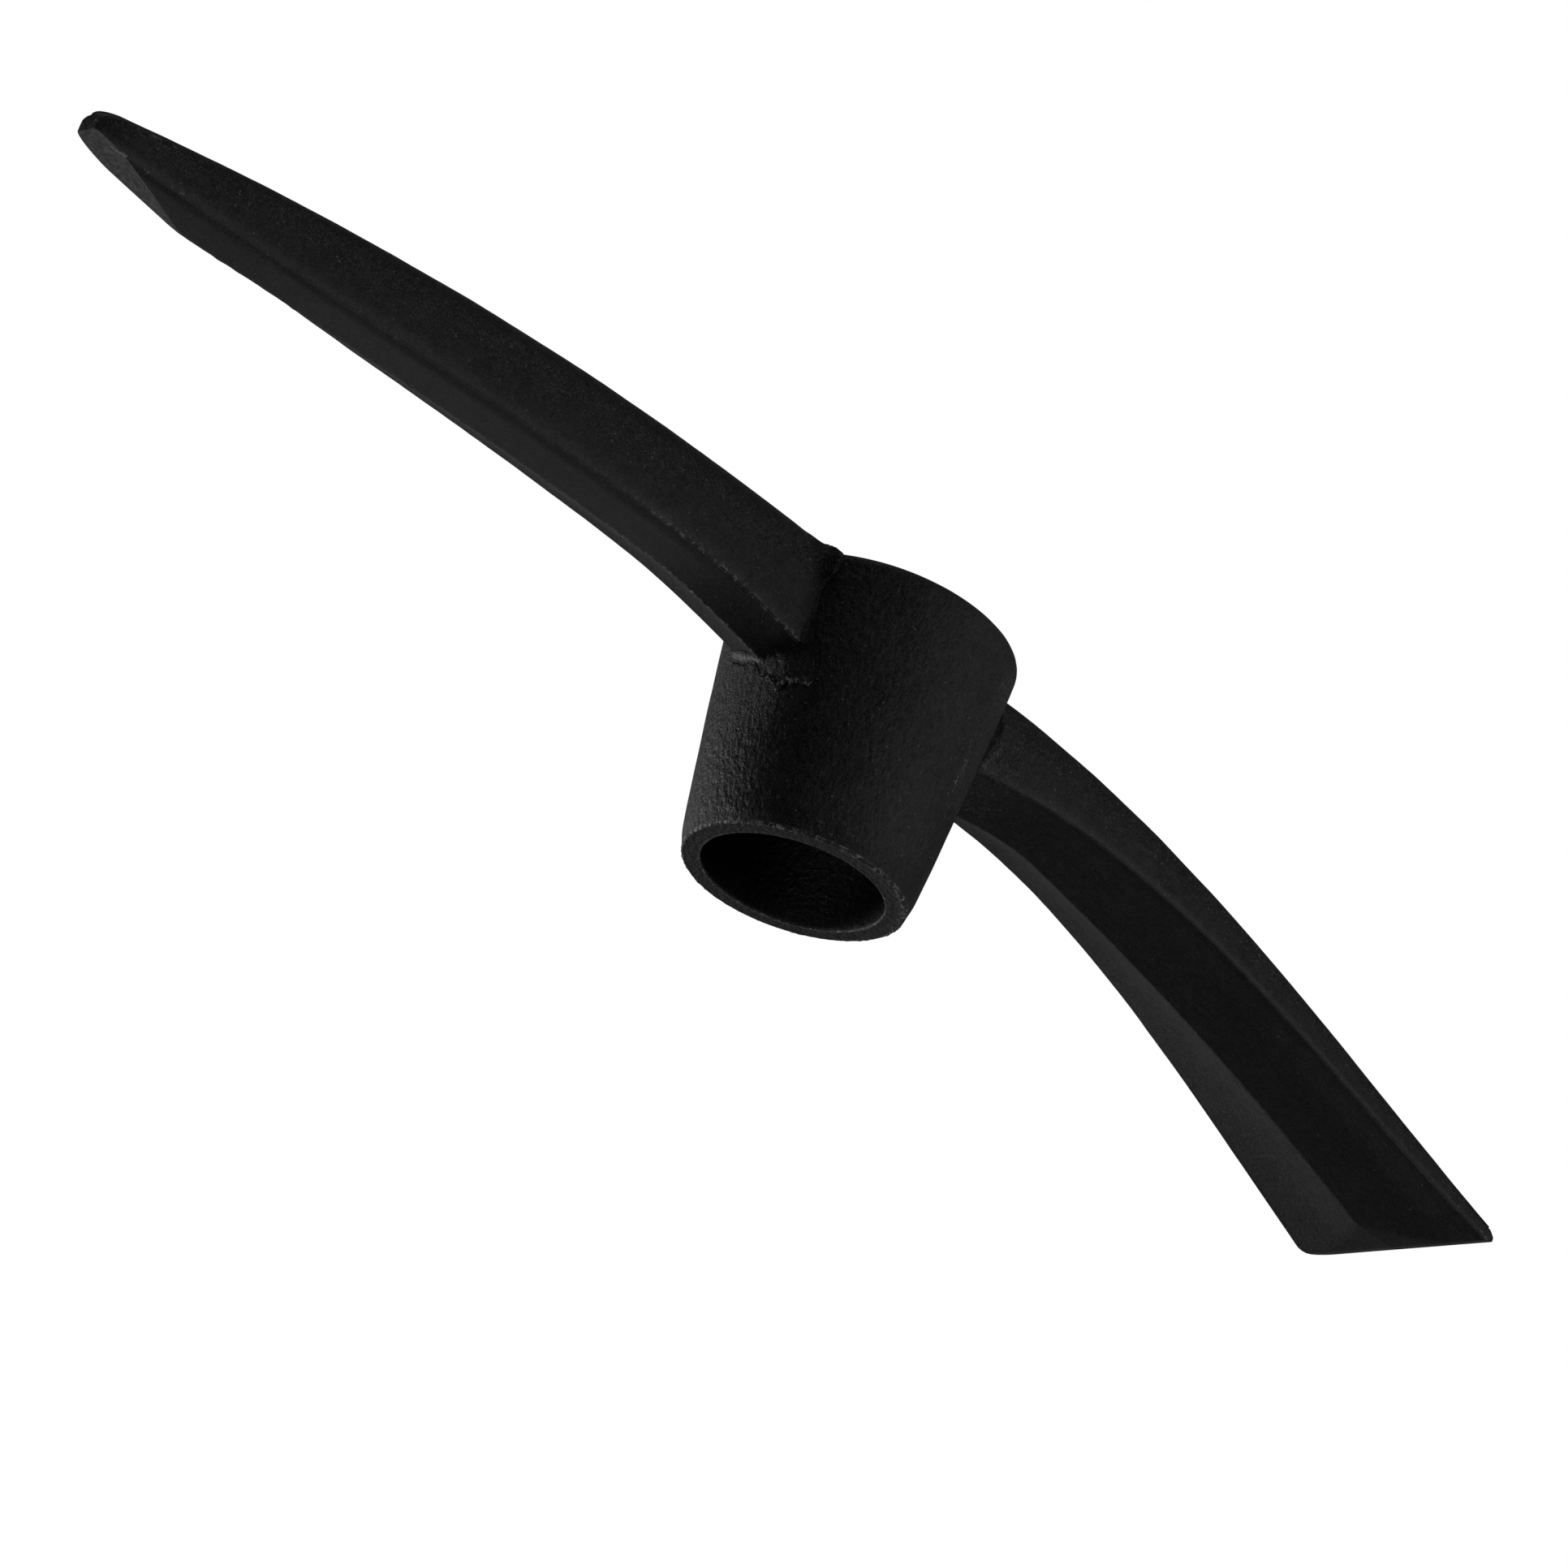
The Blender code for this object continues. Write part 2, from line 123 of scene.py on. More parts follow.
# How widely the sides of an arm blend into the wall of the eye, low down and at its head
PICK_BLEND = (0.8 * MM, 4.6 * MM)
CHISEL_BLEND = (0.4 * MM, 1.6 * MM)
BLEND_HEIGHTS = (54.0 * MM, 63.0 * MM)

# Crevice between the chisel's near side and the eye, a shallow recess darkened with painted shade: it starts
# low down, widens upwards, closes in again and ends
CREVICE_REACH = 2.4 * MM
CREVICE_HEIGHTS = (47.0 * MM, 62.0 * MM, 64.0 * MM)
CREVICE_WIDENING = 0.20
CREVICE_CLOSING = 3.6 * MM
CREVICE_CLOSING_HEIGHTS = (57.0 * MM, 63.0 * MM)
CREVICE_SOFTNESS = 0.4 * MM
CREVICE_DEPTH = 0.5 * MM

# Burr left along the ridge where the dies met
PICK_BURR = 0.25 * MM
CHISEL_BURR = 0.20 * MM
BURR_RUN = 2.6 * MM
BURR_WIDTH = 0.8 * MM

# Hollow of the undersides, as a share of their width, and bulge of the sides
UNDER_HOLLOW = 0.03
HOLLOW_SHARES = (0.36, 0.64)
SIDE_BULGE = 0.4 * MM
SIDE_BULGE_SHARE = 0.025

# Unevenness left by hammer and die: height, size of the lumps and seed
EYE_WAVES = [(0.10 * MM, 14.0 * MM, 3.0), (0.04 * MM, 4.0 * MM, 9.0)]
ARM_WAVES = [(0.10 * MM, 16.0 * MM, 21.0), (0.035 * MM, 4.0 * MM, 5.0)]

# Flakes hammered up along the rim of the eye
RIM_FLAKE = 0.38 * MM
RIM_FLAKE_RUN = 1.1 * MM
RIM_FLAKE_HEIGHT = 0.9 * MM

# Fineness and edges of the arms
EDGE_HOLD = 0.5 * MM
HOLD_SHARE = 0.2
SECOND_HOLD = 2.2
SHOULDER_POINTS = 6
STATION_STEP = 3.0 * MM
ROOT_STEP = 0.8 * MM
ROOT_RUN = 8.0 * MM
END_STEPS = 12
END_ANGLES = [math.radians(90.0) * step / END_STEPS for step in range(1, END_STEPS + 1)]

# Beads at the roots, and the skirt with its ragged lip under the pick
BEAD_TOP = 60.5 * MM
BEAD_LEG_ON_ARM = 1.8 * MM
BEAD_LEG_ON_WALL = 2.2 * MM
BEAD_SINK = 0.25 * MM
BEAD_TUCK = 0.8 * MM
BEAD_SKIRT = 0.15 * MM
BEAD_LIP = 0.9 * MM
BEAD_STEPS = {"under": 44, "corner": 10, "flank": 44}
BEAD_FILLET_STEPS = 5
BEAD_SKIRT_STEPS = 8
PICK_SKIRT = 8.3 * MM
CHISEL_SKIRT = 0.5 * MM

# Camera, solved from the photograph: a turn round the head, a tilt from below and a roll
CAMERA_TURN = 0.7501172838
CAMERA_DIP = 0.4486985078
CAMERA_ROLL = 0.3297721504
CAMERA_SHIFT = (1.72298 * MM, -21.23275 * MM)
CAMERA_DISTANCE = 1200.0 * MM
PIXELS_PER_METRE = 5745.235
PHOTO_PIXELS = 1932
SENSOR_WIDTH = 36.0

# Studio: the head's own reflections see the background dimmed, because the black steel in the photograph
# shows hardly any of it, and they see it dark between these facings towards the camera's side. The floor is
# partly white of its own, so it looks pale from above and still takes a shadow
STUDIO_GAP = (0.1, 0.85)
STUDIO_GLOSS = 0.15
STUDIO_GAP_LEVEL = 0.01
STUDIO_FILL = 0.02
LAMP_DISTANCE = 1.5
LAMP_SIZE = 0.6
LAMP_AIM = Vector((0.0, 0.0, 0.03))
FLOOR_SIZE = 8.0
FLOOR_GAP = 0.2 * MM
FLOOR_COLOUR = (0.80, 0.80, 0.80, 1.0)
FLOOR_WHITE_SHARE = 0.6
WHITE = (1.0, 1.0, 1.0, 1.0)

# Soft boxes round the camera's line of sight: name, turn in degrees from its right, share of the way
# towards the camera, power in watts
LAMPS = [
    ("left_box", 180.0, -0.35, 31.0),
    ("left_low_box", 225.0, -0.35, 6.5),
    ("right_box", 0.0, 0.15, 7.3),
    ("front_box", 18.0, 0.80, 6.6),
    ("low_box", 270.0, 0.25, 3.3),
    ("top_box", 90.0, -0.20, 4.5),
]

# Places in half a section, ridge to crown, of the last point under it, the first and the middle of its side
UNDER_END, SIDE_START, SIDE_MIDDLE = 6, 7, 9

# Marks on the points of half a section: how worn an edge is, how rough a crease is
WORN_MARKS = [1.0, 0.6, 0.1, 0.0, 0.0, 0.0, 0.6, 1.0, 0.6] + [0.0] * (SHOULDER_POINTS + 4)
ROUGH_MARKS = [0.5, 0.2, 0.0, 0.0, 0.0, 0.0, 0.1, 0.2, 0.1, 0.4, 1.0, 0.6] + [0.0] * (SHOULDER_POINTS + 1)

# Linear greys of the paint, of the painted glints of bright specks in it and of bare worn steel
PAINT_GREY = 0.0092
PAINTED_GLINT_GREY = 0.050
WORN_GREY = 0.12
PAINT_ROUGHNESS = (0.42, 0.58)
PAINT_GLOSS = 0.07

# Skin of each piece: strength of its peel, its drawn-out grain, its specks of painted glint and its grit
EYE_SKIN = (0.30, 0.55, 0.24, 0.12)
ARM_SKIN = (0.18, 0.06, 0.05, 0.05)
PICK_BEAD_SKIN = (0.3, 0.1, 0.3, 0.09)
CHISEL_BEAD_SKIN = (0.3, 0.1, 0.2, 0.09)

# Scales that draw the grain out along a piece
EYE_GRAIN = (1.0, 1.0, 0.6)
ARM_GRAIN = (0.3, 1.0, 1.0)
BEAD_GRAIN = (1.0, 1.0, 0.4)

# Where worn edges show bare steel: places along X in millimetres between which it sets in. The eye and
# the beads show it everywhere
PICK_SCUFF = (-108.0, -55.0)
CHISEL_SCUFF = (222.0, 229.0)
EYE_SCUFF = (-40.0, -39.0)

# Single marks seen in the photograph: start, end and width in millimetres, how much lighter or darker
# they are as a share of the paint, and how far they stand out in millimetres
EYE_STROKES = [
    ((-30.0, 0.1, 38.0), (-29.2, -0.2, 30.8), 0.7, -0.9, -0.25),
    # Next: painted shadow under the bead's lip, over a shallow cut
    ((-29.3, -3.4, 33.6), (-28.4, -7.2, 32.2), 1.8, -1.3, -0.2),
    ((-28.3, -4.1, 24.8), (-27.7, -5.6, 22.2), 0.8, -0.7, -0.2),
    ((-29.6, -11.6, 57.1), (-28.7, -13.8, 57.2), 0.8, -0.6, -0.15),
    ((-28.7, -13.8, 57.2), (-27.3, -16.0, 55.9), 0.6, -0.6, -0.15),
    ((-24.1, -9.9, 6.6), (-24.0, -10.8, 4.8), 0.8, -0.6, -0.2),
    ((11.0, -27.6, 34.3), (11.3, -27.4, 32.8), 0.8, 7.0, 0.15),
    ((9.9, -27.6, 30.6), (10.5, -27.3, 29.2), 0.75, 7.0, 0.15),
    ((9.7, -28.6, 38.9), (9.9, -28.4, 37.4), 0.5, 4.0, 0.1),
    ((10.7, -27.1, 27.8), (10.6, -27.0, 27.2), 0.5, 5.0, 0.1),
    ((9.3, -26.5, 18.0), (9.2, -26.4, 16.8), 0.6, 3.0, 0.1),
]
PICK_STROKES = [
    ((-237.9, -0.3, 31.0), (-237.7, -2.3, 26.9), 0.35, 1.2, -0.05),
    # Next eight: painted highlights, glints on burrs along the near lower edge by the tip, two on the rough
    # crease, and a long line along the edge
    ((-238.3, 1.6, 25.4), (-235.2, -1.5, 25.1), 0.4, 10.0, 0.05),
    ((-233.6, -2.4, 25.3), (-230.4, -3.7, 25.4), 0.45, 10.0, 0.05),
    ((-224.9, -3.8, 25.6), (-224.6, -3.9, 25.8), 0.55, 6.0, 0.05),
    ((-215.9, -4.4, 26.8), (-215.6, -4.4, 27.1), 0.55, 5.0, 0.05),
    ((-192.9, -5.0, 28.8), (-192.6, -5.1, 28.9), 0.5, 5.0, 0.05),
    ((-226.4, -3.9, 33.0), (-225.0, -4.0, 33.5), 0.5, 4.0, 0.05),
    ((-221.4, -4.2, 34.1), (-220.9, -4.2, 34.3), 0.5, 4.0, 0.05),
    ((-212.0, -4.0, 26.3), (-188.5, -4.6, 28.6), 0.5, 0.9, 0.05),
]
CHISEL_STROKES = [
    ((82.1, -16.4, 57.2), (88.0, -16.9, 57.5), 0.9, 1.6, -0.05),
    ((31.8, -13.1, 47.6), (33.2, -13.3, 51.2), 1.3, 2.8, 0.1),
    ((33.6, -13.4, 52.0), (34.6, -13.4, 54.2), 1.0, 2.2, 0.08),
    ((34.4, -13.2, 48.0), (36.6, -13.4, 51.6), 1.2, 2.4, 0.1),
    ((38.6, -13.6, 50.2), (42.3, -13.8, 51.6), 1.0, 1.8, 0.08),
    ((192.1, 22.7, 38.1), (189.8, 11.0, 36.4), 0.4, 1.6, -0.03),
    ((197.9, 23.6, 37.1), (198.0, 21.8, 36.9), 0.6, 1.6, -0.03),
    ((201.4, 22.5, 36.4), (203.3, 20.6, 35.8), 0.6, 1.6, -0.03),
    # Next: painted highlight at the near corner of the cutting edge
    ((226.5, -27.4, 32.6), (230.2, -27.5, 32.0), 1.0, 7.0, 0.05),
]

# Tones say how much lighter or darker than its paint a place looks, as a share of the paint. Most of them
# are painted light and shade that stand in for how light falls on the head
# Eye: painted light on the right of its wall, low down most of all, painted shade on its left and its limb,
# a painted highlight band up the wall on the chisel's side, a lighter worn rim at the bore and painted shade
# down the bore
EYE_WEAR_AND_PAINTED_LIGHT = dict(right=0.62, right_low=0.2, left=-0.24, far_left=-0.45, limb=-0.14, band=0.32, bore_rim=2.5,
                 bore=-0.85)
# Pick: a lighter band along its side's edge, a painted highlight with wear; painted shade on its crown, at
# its toe on the eye and on the far underside by the root; darker at the nose and at the very end; painted
# light on the near underside, growing outwards
PICK_PAINTED_LIGHT_AND_TONES = dict(edge=0.6, crown=-0.38, nose=-0.6, toe=-0.6, far_root=-0.4, near=2.3, near_inner=0.8,
                  end=-0.8)
# Chisel: a lighter side with a lighter band along its edge, a painted highlight with wear; painted shade on
# its crown and in the crevice at the eye; a lighter honed strip; painted shade and light on the underside:
# the near half darker, more so far out, down its middle and at its edge, the far half darker near the eye
# and lighter far out
CHISEL_PAINTED_LIGHT_AND_TONES = dict(side=0.12, edge=0.8, crown=-0.45, crevice=-1.6, hone=2.0, far=-0.22, far_out=0.5,
                    near=-0.06, near_out=-0.16, near_middle=-0.3, near_edge=-0.45)
# Beads: painted shade over the whole bead, in the web under the root
BEAD_PAINTED_SHADE = -0.6

# How much of a rough patch the painted highlight band up the eye's wall is, and how much darker the pick's
# underside is at its edge, where less painted light is put on it
BAND_PATCH = 0.8
PICK_EDGE_DARKER = 0.7


def bowed(line, share):
    """Value at a share of the way along a line with a bow."""
    start, end, bow, lean = line
    arch = 4.0 * bow * share * (1.0 - share)
    return start + (end - start) * share + arch * (1.0 + lean * (1.0 - 2.0 * share))


def root_share(distance, root, length):
    """One at the root of an arm, falling to nothing at a length from it."""
    return max(0.0, 1.0 - (distance - root) / length) ** 1.5


def blend_offset(gap, radius):
    """How far a blend of this radius stands out at a gap from the wall."""
    if gap >= radius:
        return 0.0
    reach = radius - max(gap, 0.0)
    return radius - math.sqrt(radius ** 2 - reach ** 2)


def ease(low, high, value):
    """Smooth rise from none at one value to one at another."""
    share = min(1.0, max(0.0, (value - low) / (high - low)))
    return share * share * (3.0 - 2.0 * share)


def tone_of(tones, **shares):
    """Sum of the tones of a piece, each by its share at a place."""
    return sum(tones[name] * share for name, share in shares.items())


def window(bounds, value):
    """One between the two inner bounds, none beyond the outer ones."""
    start, full, fade, end = bounds
    return ease(start, full, value) * ease(end, fade, value)


def wall_radius(height):
    """Outer radius of the eye's wall."""
    return bowed((EYE_RIM_RADIUS, EYE_HEAD_RADIUS, EYE_WALL_BULGE, 0.0), height / EYE_HEIGHT)


def wall_gap(point):
    """Distance of a point from the eye's wall."""
    return point.xy.length - wall_radius(min(point.z, EYE_HEIGHT))


def activate(obj):
    bpy.ops.object.select_all(action="DESELECT")
    obj.select_set(True)
    bpy.context.view_layer.objects.active = obj


def edit(obj):
    """Open an object's mesh in edit mode with nothing selected."""
    activate(obj)
    bpy.ops.object.mode_set(mode="EDIT")
    bpy.ops.mesh.select_all(action="DESELECT")


def pick_out(obj, kind, wanted):
    """Select the vertices, edges or faces of the open mesh that a test picks."""
    bpy.ops.mesh.select_mode(type=kind)
    bm = bmesh.from_edit_mesh(obj.data)
    parts = {"VERT": bm.verts, "EDGE": bm.edges, "FACE": bm.faces}[kind]
    for part in parts:
        part.select_set(bool(wanted(part)))
    bm.select_flush_mode()
    bmesh.update_edit_mesh(obj.data)


def finish_edit():
    bpy.ops.object.mode_set(mode="OBJECT")


def apply_modifier(obj, kind, **values):
    activate(obj)
    modifier = obj.modifiers.new(kind.title(), kind)
    for name, value in values.items():
        setattr(modifier, name, value)
    bpy.ops.object.modifier_apply(modifier=modifier.name)


def move_vertices(obj, place):
    """Work a mesh vertex by vertex: each vertex goes where the function puts it."""
    places = [place(vertex.co.copy(), vertex.normal.copy()) for vertex in obj.data.vertices]
    for vertex, co in zip(obj.data.vertices, places):
        vertex.co = co
    obj.data.update()


def mark_points(obj, name, value_at):
    """Give each point of a mesh a value by its place, for its finish."""
    values = [value_at(vertex.co) for vertex in obj.data.vertices]
    attribute = obj.data.attributes.get(name) or obj.data.attributes.new(name, "FLOAT", "POINT")
    attribute.data.foreach_set("value", values)


def forged_wave(point, size, seed):
    """Unevenness of about -1 to 1, with lumps of a given size."""
    return noise.noise(point / size + Vector((seed, 0.0, 0.0)))


def skin_height(point, waves):
    """Height of the uneven skin at a point."""
    return sum(height * forged_wave(point, size, seed) for height, size, seed in waves)


# Eye

def make_eye():
    bpy.ops.mesh.primitive_cylinder_add(vertices=EYE_SIDES, radius=EYE_RIM_RADIUS, depth=EYE_HEIGHT,
                                        location=(0.0, 0.0, EYE_HEIGHT / 2))
    eye = bpy.context.object
    eye.name = "eye_casting"
    bpy.ops.object.transform_apply(location=True)
    edit(eye)

    pick_out(eye, "FACE", lambda face: face.normal.z > 0.9)
    growth = EYE_HEAD_RADIUS / EYE_RIM_RADIUS
    bpy.ops.transform.resize(value=(growth, growth, 1.0))
    bpy.ops.mesh.inset(thickness=EYE_HEAD_RADIUS - EYE_HEAD_BORE_RADIUS)
    pick_out(eye, "FACE", lambda face: face.normal.z < -0.9)
    bpy.ops.mesh.inset(thickness=EYE_RIM_RADIUS - EYE_RIM_BORE_RADIUS)
    pick_out(eye, "FACE", lambda face: len(face.verts) > 4)
    bpy.ops.mesh.bridge_edge_loops()

    pick_ring(eye, EYE_HEIGHT, EYE_HEAD_RADIUS)
    bpy.ops.mesh.bevel(offset=EYE_HEAD_ROUNDING, segments=8, offset_type="WIDTH")
    pick_ring(eye, 0.0, EYE_RIM_RADIUS)
    bpy.ops.mesh.bevel(offset=EYE_RIM_ROUNDING, segments=4)
    pick_ring(eye, 0.0, EYE_RIM_BORE_RADIUS)
    bpy.ops.mesh.bevel(offset=EYE_BORE_ROUNDING, segments=3)
    pick_ring(eye, EYE_HEIGHT, EYE_HEAD_BORE_RADIUS)
    bpy.ops.mesh.bevel(offset=EYE_BORE_ROUNDING, segments=3)

    pick_out(eye, "FACE", lambda face: face.normal.z < -0.999 and face.calc_center_median().z < 0.001 * MM)
    bpy.ops.mesh.inset(thickness=EYE_RIM_INSET)

    pick_out(eye, "EDGE", lambda edge: abs(edge.verts[0].co.z - edge.verts[1].co.z) > 0.5 * EYE_HEIGHT)
    bpy.ops.mesh.subdivide(number_cuts=EYE_WALL_CUTS)
    finish_edit()
    move_vertices(eye, work_eye)
    mark_points(eye, "worn", rim_wear)
    mark_points(eye, "rough", root_roughness)
    mark_points(eye, "tone", eye_wear_and_painted_light)
    mark_points(eye, "patch", lambda point: BAND_PATCH * painted_highlight_band_share(point))
    return eye


def pick_ring(obj, height, radius):
    """Select the round edge of the open mesh at a height and a radius."""
    def near(vertex):
        return max(abs(vertex.co.z - height), abs(vertex.co.xy.length - radius)) < RING_NEAR
    pick_out(obj, "EDGE", lambda edge: all(near(vertex) for vertex in edge.verts))


def near_turn(point):
    """Turn in degrees round the eye, from the pick through the near side."""
    return math.degrees(math.atan2(-point.y, -point.x))


def eye_wear_and_painted_light(point):
    """Painted light and shade on the eye: its wall is painted lighter or darker by the turn, with a painted
    highlight band up it, and its bore gets painted shade behind a worn rim.
    """
    if point.xy.length > bowed(EYE_WALL_SIDE, min(1.0, max(0.0, point.z / EYE_HEIGHT))):
        turn = near_turn(point)
        right = ease(52.0, 86.0, turn)
        left = window((8.0 * MM, 22.0 * MM, 50.0 * MM, 62.0 * MM), point.z)
        return tone_of(EYE_WEAR_AND_PAINTED_LIGHT, right=right, right_low=right * ease(30.0 * MM, 10.0 * MM, point.z),
                       left=left * ease(45.0, 25.0, turn), far_left=left * ease(25.0, 2.0, turn),
                       limb=ease(90.0, 110.0, turn), band=painted_highlight_band_share(point))
    edge = ease(0.5 * MM, 0.3 * MM, point.xy.length - EYE_RIM_BORE_RADIUS)
    return tone_of(EYE_WEAR_AND_PAINTED_LIGHT, bore_rim=edge * ease(0.5 * MM, 0.3 * MM, point.z),
                   bore=ease(0.3 * MM, 0.9 * MM, point.z))


def painted_highlight_band_share(point):
    """Share of the painted highlight band up the wall on the side of the chisel."""
    heights = window((20.0 * MM, 30.0 * MM, 58.0 * MM, 63.0 * MM), point.z)
    return window((106.0, 114.0, 140.0, 150.0), near_turn(point)) * heights


def rim_wear(point):
    """How worn the eye is: fully along the edges of its rim, fading up the wall and the bore."""
    outer = ease(1.8 * MM, 0.3 * MM, point.z) * ease(24.3 * MM, 24.75 * MM, point.xy.length)
    inner = ease(0.5 * MM, 0.1 * MM, point.z) * ease(21.2 * MM, 20.9 * MM, point.xy.length)
    return max(outer, inner)


def root_roughness(point):
    """How rough the eye's wall is: most of all under the roots of the arms and at its rim."""
    near_root = ease(11.0 * MM, 4.0 * MM, abs(point.y)) * ease(18.0 * MM, 30.0 * MM, point.z)
    above_rim = window((0.1 * MM, 0.4 * MM, 1.0 * MM, 5.0 * MM), point.z)
    return max(0.85 * near_root, 0.6 * above_rim)


def work_eye(point, normal):
    """Bulge the wall and leave the skin of the forging slightly uneven."""
    share = min(1.0, max(0.0, point.z / EYE_HEIGHT))
    if point.xy.length > bowed(EYE_OUTSIDE, share):
        bulge = 4.0 * EYE_WALL_BULGE * share * (1.0 - share)
        bulge += EYE_RIM_FULLNESS * ease(0.0, EYE_FULL_HEIGHT, point.z) * (1.0 - share)
        turned_right = max(0.0, (point.x - point.y) / (point.xy.length * math.sqrt(2.0)))
        bulge += EYE_RIGHT_BULGE * turned_right ** 2 * (1.0 - share)
        wave = skin_height(point, EYE_WAVES) * ease(0.0, 0.8 * MM, point.z)
        radial = Vector((point.x, point.y, 0.0)).normalized()
        point += radial * (bulge + wave)
        flake = max(0.0, forged_wave(point, RIM_FLAKE_RUN, 51.0) + 0.1)
        point += radial * RIM_FLAKE * flake * ease(RIM_FLAKE_HEIGHT, 0.0, point.z)
    return point


# Arms

def half_section(half_width, ridge, edge, top, shoulder, shoulder_width, crest):
    """One half of an arm's section, as (y, z) points from its ridge round to its crown."""
    ridge_point = Vector((0.0, ridge))
    edge_point = Vector((half_width, edge))
    side_point = Vector((half_width, top - shoulder))
    under = (edge_point - ridge_point).normalized()
    side_height = max(side_point.y - edge_point.y, 0.1 * MM)
    hold = min(EDGE_HOLD, HOLD_SHARE * side_height)
    under_length = (edge_point - ridge_point).length
    hollow = Vector((-under.y, under.x)) * UNDER_HOLLOW * under_length
    bulge = min(SIDE_BULGE, SIDE_BULGE_SHARE * side_height)
    points = [ridge_point, ridge_point + under * hold, ridge_point + under * hold * SECOND_HOLD]
    points += [ridge_point + under * under_length * share + hollow for share in HOLLOW_SHARES]
    points += [edge_point - under * hold * SECOND_HOLD, edge_point - under * hold,
               edge_point + Vector((0.0, hold)), edge_point + Vector((0.0, hold * SECOND_HOLD)),
               (edge_point + side_point) / 2 + Vector((bulge, hold))]
    shoulder_top = top - crest
    for step in range(SHOULDER_POINTS + 1):
        angle = math.radians(90.0) * step / SHOULDER_POINTS
        points.append(Vector((half_width - shoulder_width * (1.0 - math.cos(angle)),
                              side_point.y + (shoulder_top - side_point.y) * math.sin(angle))))
    points += [Vector((0.5 * (half_width - shoulder_width), top - 0.4 * crest)), Vector((0.0, top))]
    return [(y, EYE_HEIGHT + z) for y, z in points]


def edge_height(half):
    """Height of the edge between the underside and the side of half a section."""
    return (half[UNDER_END][1] + half[SIDE_START][1]) / 2


def pick_half_section(distance):
    share = (distance - PICK_ROOT) / (PICK_REACH - PICK_ROOT)
    half_width = bowed(PICK_HALF_WIDTH, share)
    flare = root_share(distance, PICK_ROOT, PICK_FLARE_LENGTH)
    return half_section(half_width, bowed(PICK_RIDGE, share) - PICK_RIDGE_FLARE * flare,
                        bowed(PICK_EDGE, share) - PICK_EDGE_FLARE * flare, bowed(PICK_TOP, share),
                        bowed(PICK_SHOULDER, share), half_width * PICK_SHOULDER_SHARE, PICK_CREST)


def chisel_half_section(distance):
    share = (distance - CHISEL_ROOT) / (CHISEL_REACH - CHISEL_ROOT)
    flare = root_share(distance, CHISEL_ROOT, CHISEL_FLARE_LENGTH)
    ridge = bowed(CHISEL_RIDGE, share) - CHISEL_RIDGE_FLARE * flare
    shoulder = bowed(CHISEL_SHOULDER, share)
    return half_section(bowed(CHISEL_HALF_WIDTH, share), ridge, bowed(CHISEL_EDGE, share),
                        bowed(CHISEL_TOP, share), shoulder, shoulder, CHISEL_CREST)


def stations(end):
    """Distances of the sections along an arm, close together at its root."""
    count = round(ROOT_RUN / ROOT_STEP)
    near = [ROOT_INSIDE + ROOT_STEP * index for index in range(count)]
    start = ROOT_INSIDE + ROOT_RUN
    count = round((end - start) / STATION_STEP)
    return near + [start + (end - start) * index / count for index in range(count + 1)]


def closed_section(x, half, near_scale=1.0, far_scale=1.0):
    """Whole section at a distance: up the near side from ridge to crown, and down the far side."""
    near = [Vector((x, -y * near_scale, z)) for y, z in half]
    far = [Vector((x, y * far_scale, z)) for y, z in half[1:-1]]
    return near + far[::-1]


def draw_out(name, sections, marks):
    """Draw a bar out of a flat disc: its end is extruded and shaped to section after section."""
    bpy.ops.mesh.primitive_circle_add(vertices=len(sections[0]), fill_type="NGON")
    bar = bpy.context.object
    bar.name = name
    edit(bar)
    bpy.ops.mesh.select_mode(type="FACE")
    bpy.ops.mesh.select_all(action="SELECT")
    for mark in marks:
        bar.data.attributes.new(mark, "FLOAT", "POINT")
    shape_end(bar, sections[0], marks)
    for section in sections[1:]:
        bpy.ops.mesh.extrude_region_move(TRANSFORM_OT_translate={"value": (0.0, 0.0, 0.0)})
        shape_end(bar, section, marks)
    bpy.ops.mesh.select_all(action="SELECT")
    bpy.ops.mesh.normals_make_consistent(inside=False)
    finish_edit()
    return bar


def shape_end(bar, section, marks):
    """Put the corners of the selected end face on a section, and mark them."""
    bm = bmesh.from_edit_mesh(bar.data)
    end = next(face for face in bm.faces if face.select)
    for corner, place in zip(end.verts, section):
        corner.co = place
    for name, values in marks.items():
        layer = bm.verts.layers.float[name]
        for corner, value in zip(end.verts, values):
            corner[layer] = value
    bmesh.update_edit_mesh(bar.data)


def round_marks(half):
    """The marks of half a section, closed round like the section itself."""
    return half + half[1:-1][::-1]


ARM_MARKS = {"worn": round_marks(WORN_MARKS), "rough": round_marks(ROUGH_MARKS)}


def smooth_through(obj, levels):
    """Subdivide a cage so that the smooth surface still passes through its points."""
    cage = [vertex.co.copy() for vertex in obj.data.vertices]
    for _ in range(2):
        trial = obj.copy()
        trial.data = obj.data.copy()
        bpy.context.scene.collection.objects.link(trial)
        apply_modifier(trial, "SUBSURF", levels=1, use_limit_surface=True)
        reached = [vertex.co.copy() for vertex in trial.data.vertices[:len(cage)]]
        for vertex, place, limit in zip(obj.data.vertices, cage, reached):
            vertex.co += place - limit
        bpy.data.objects.remove(trial)
    obj.data.update()
    apply_modifier(obj, "SUBSURF", levels=levels)


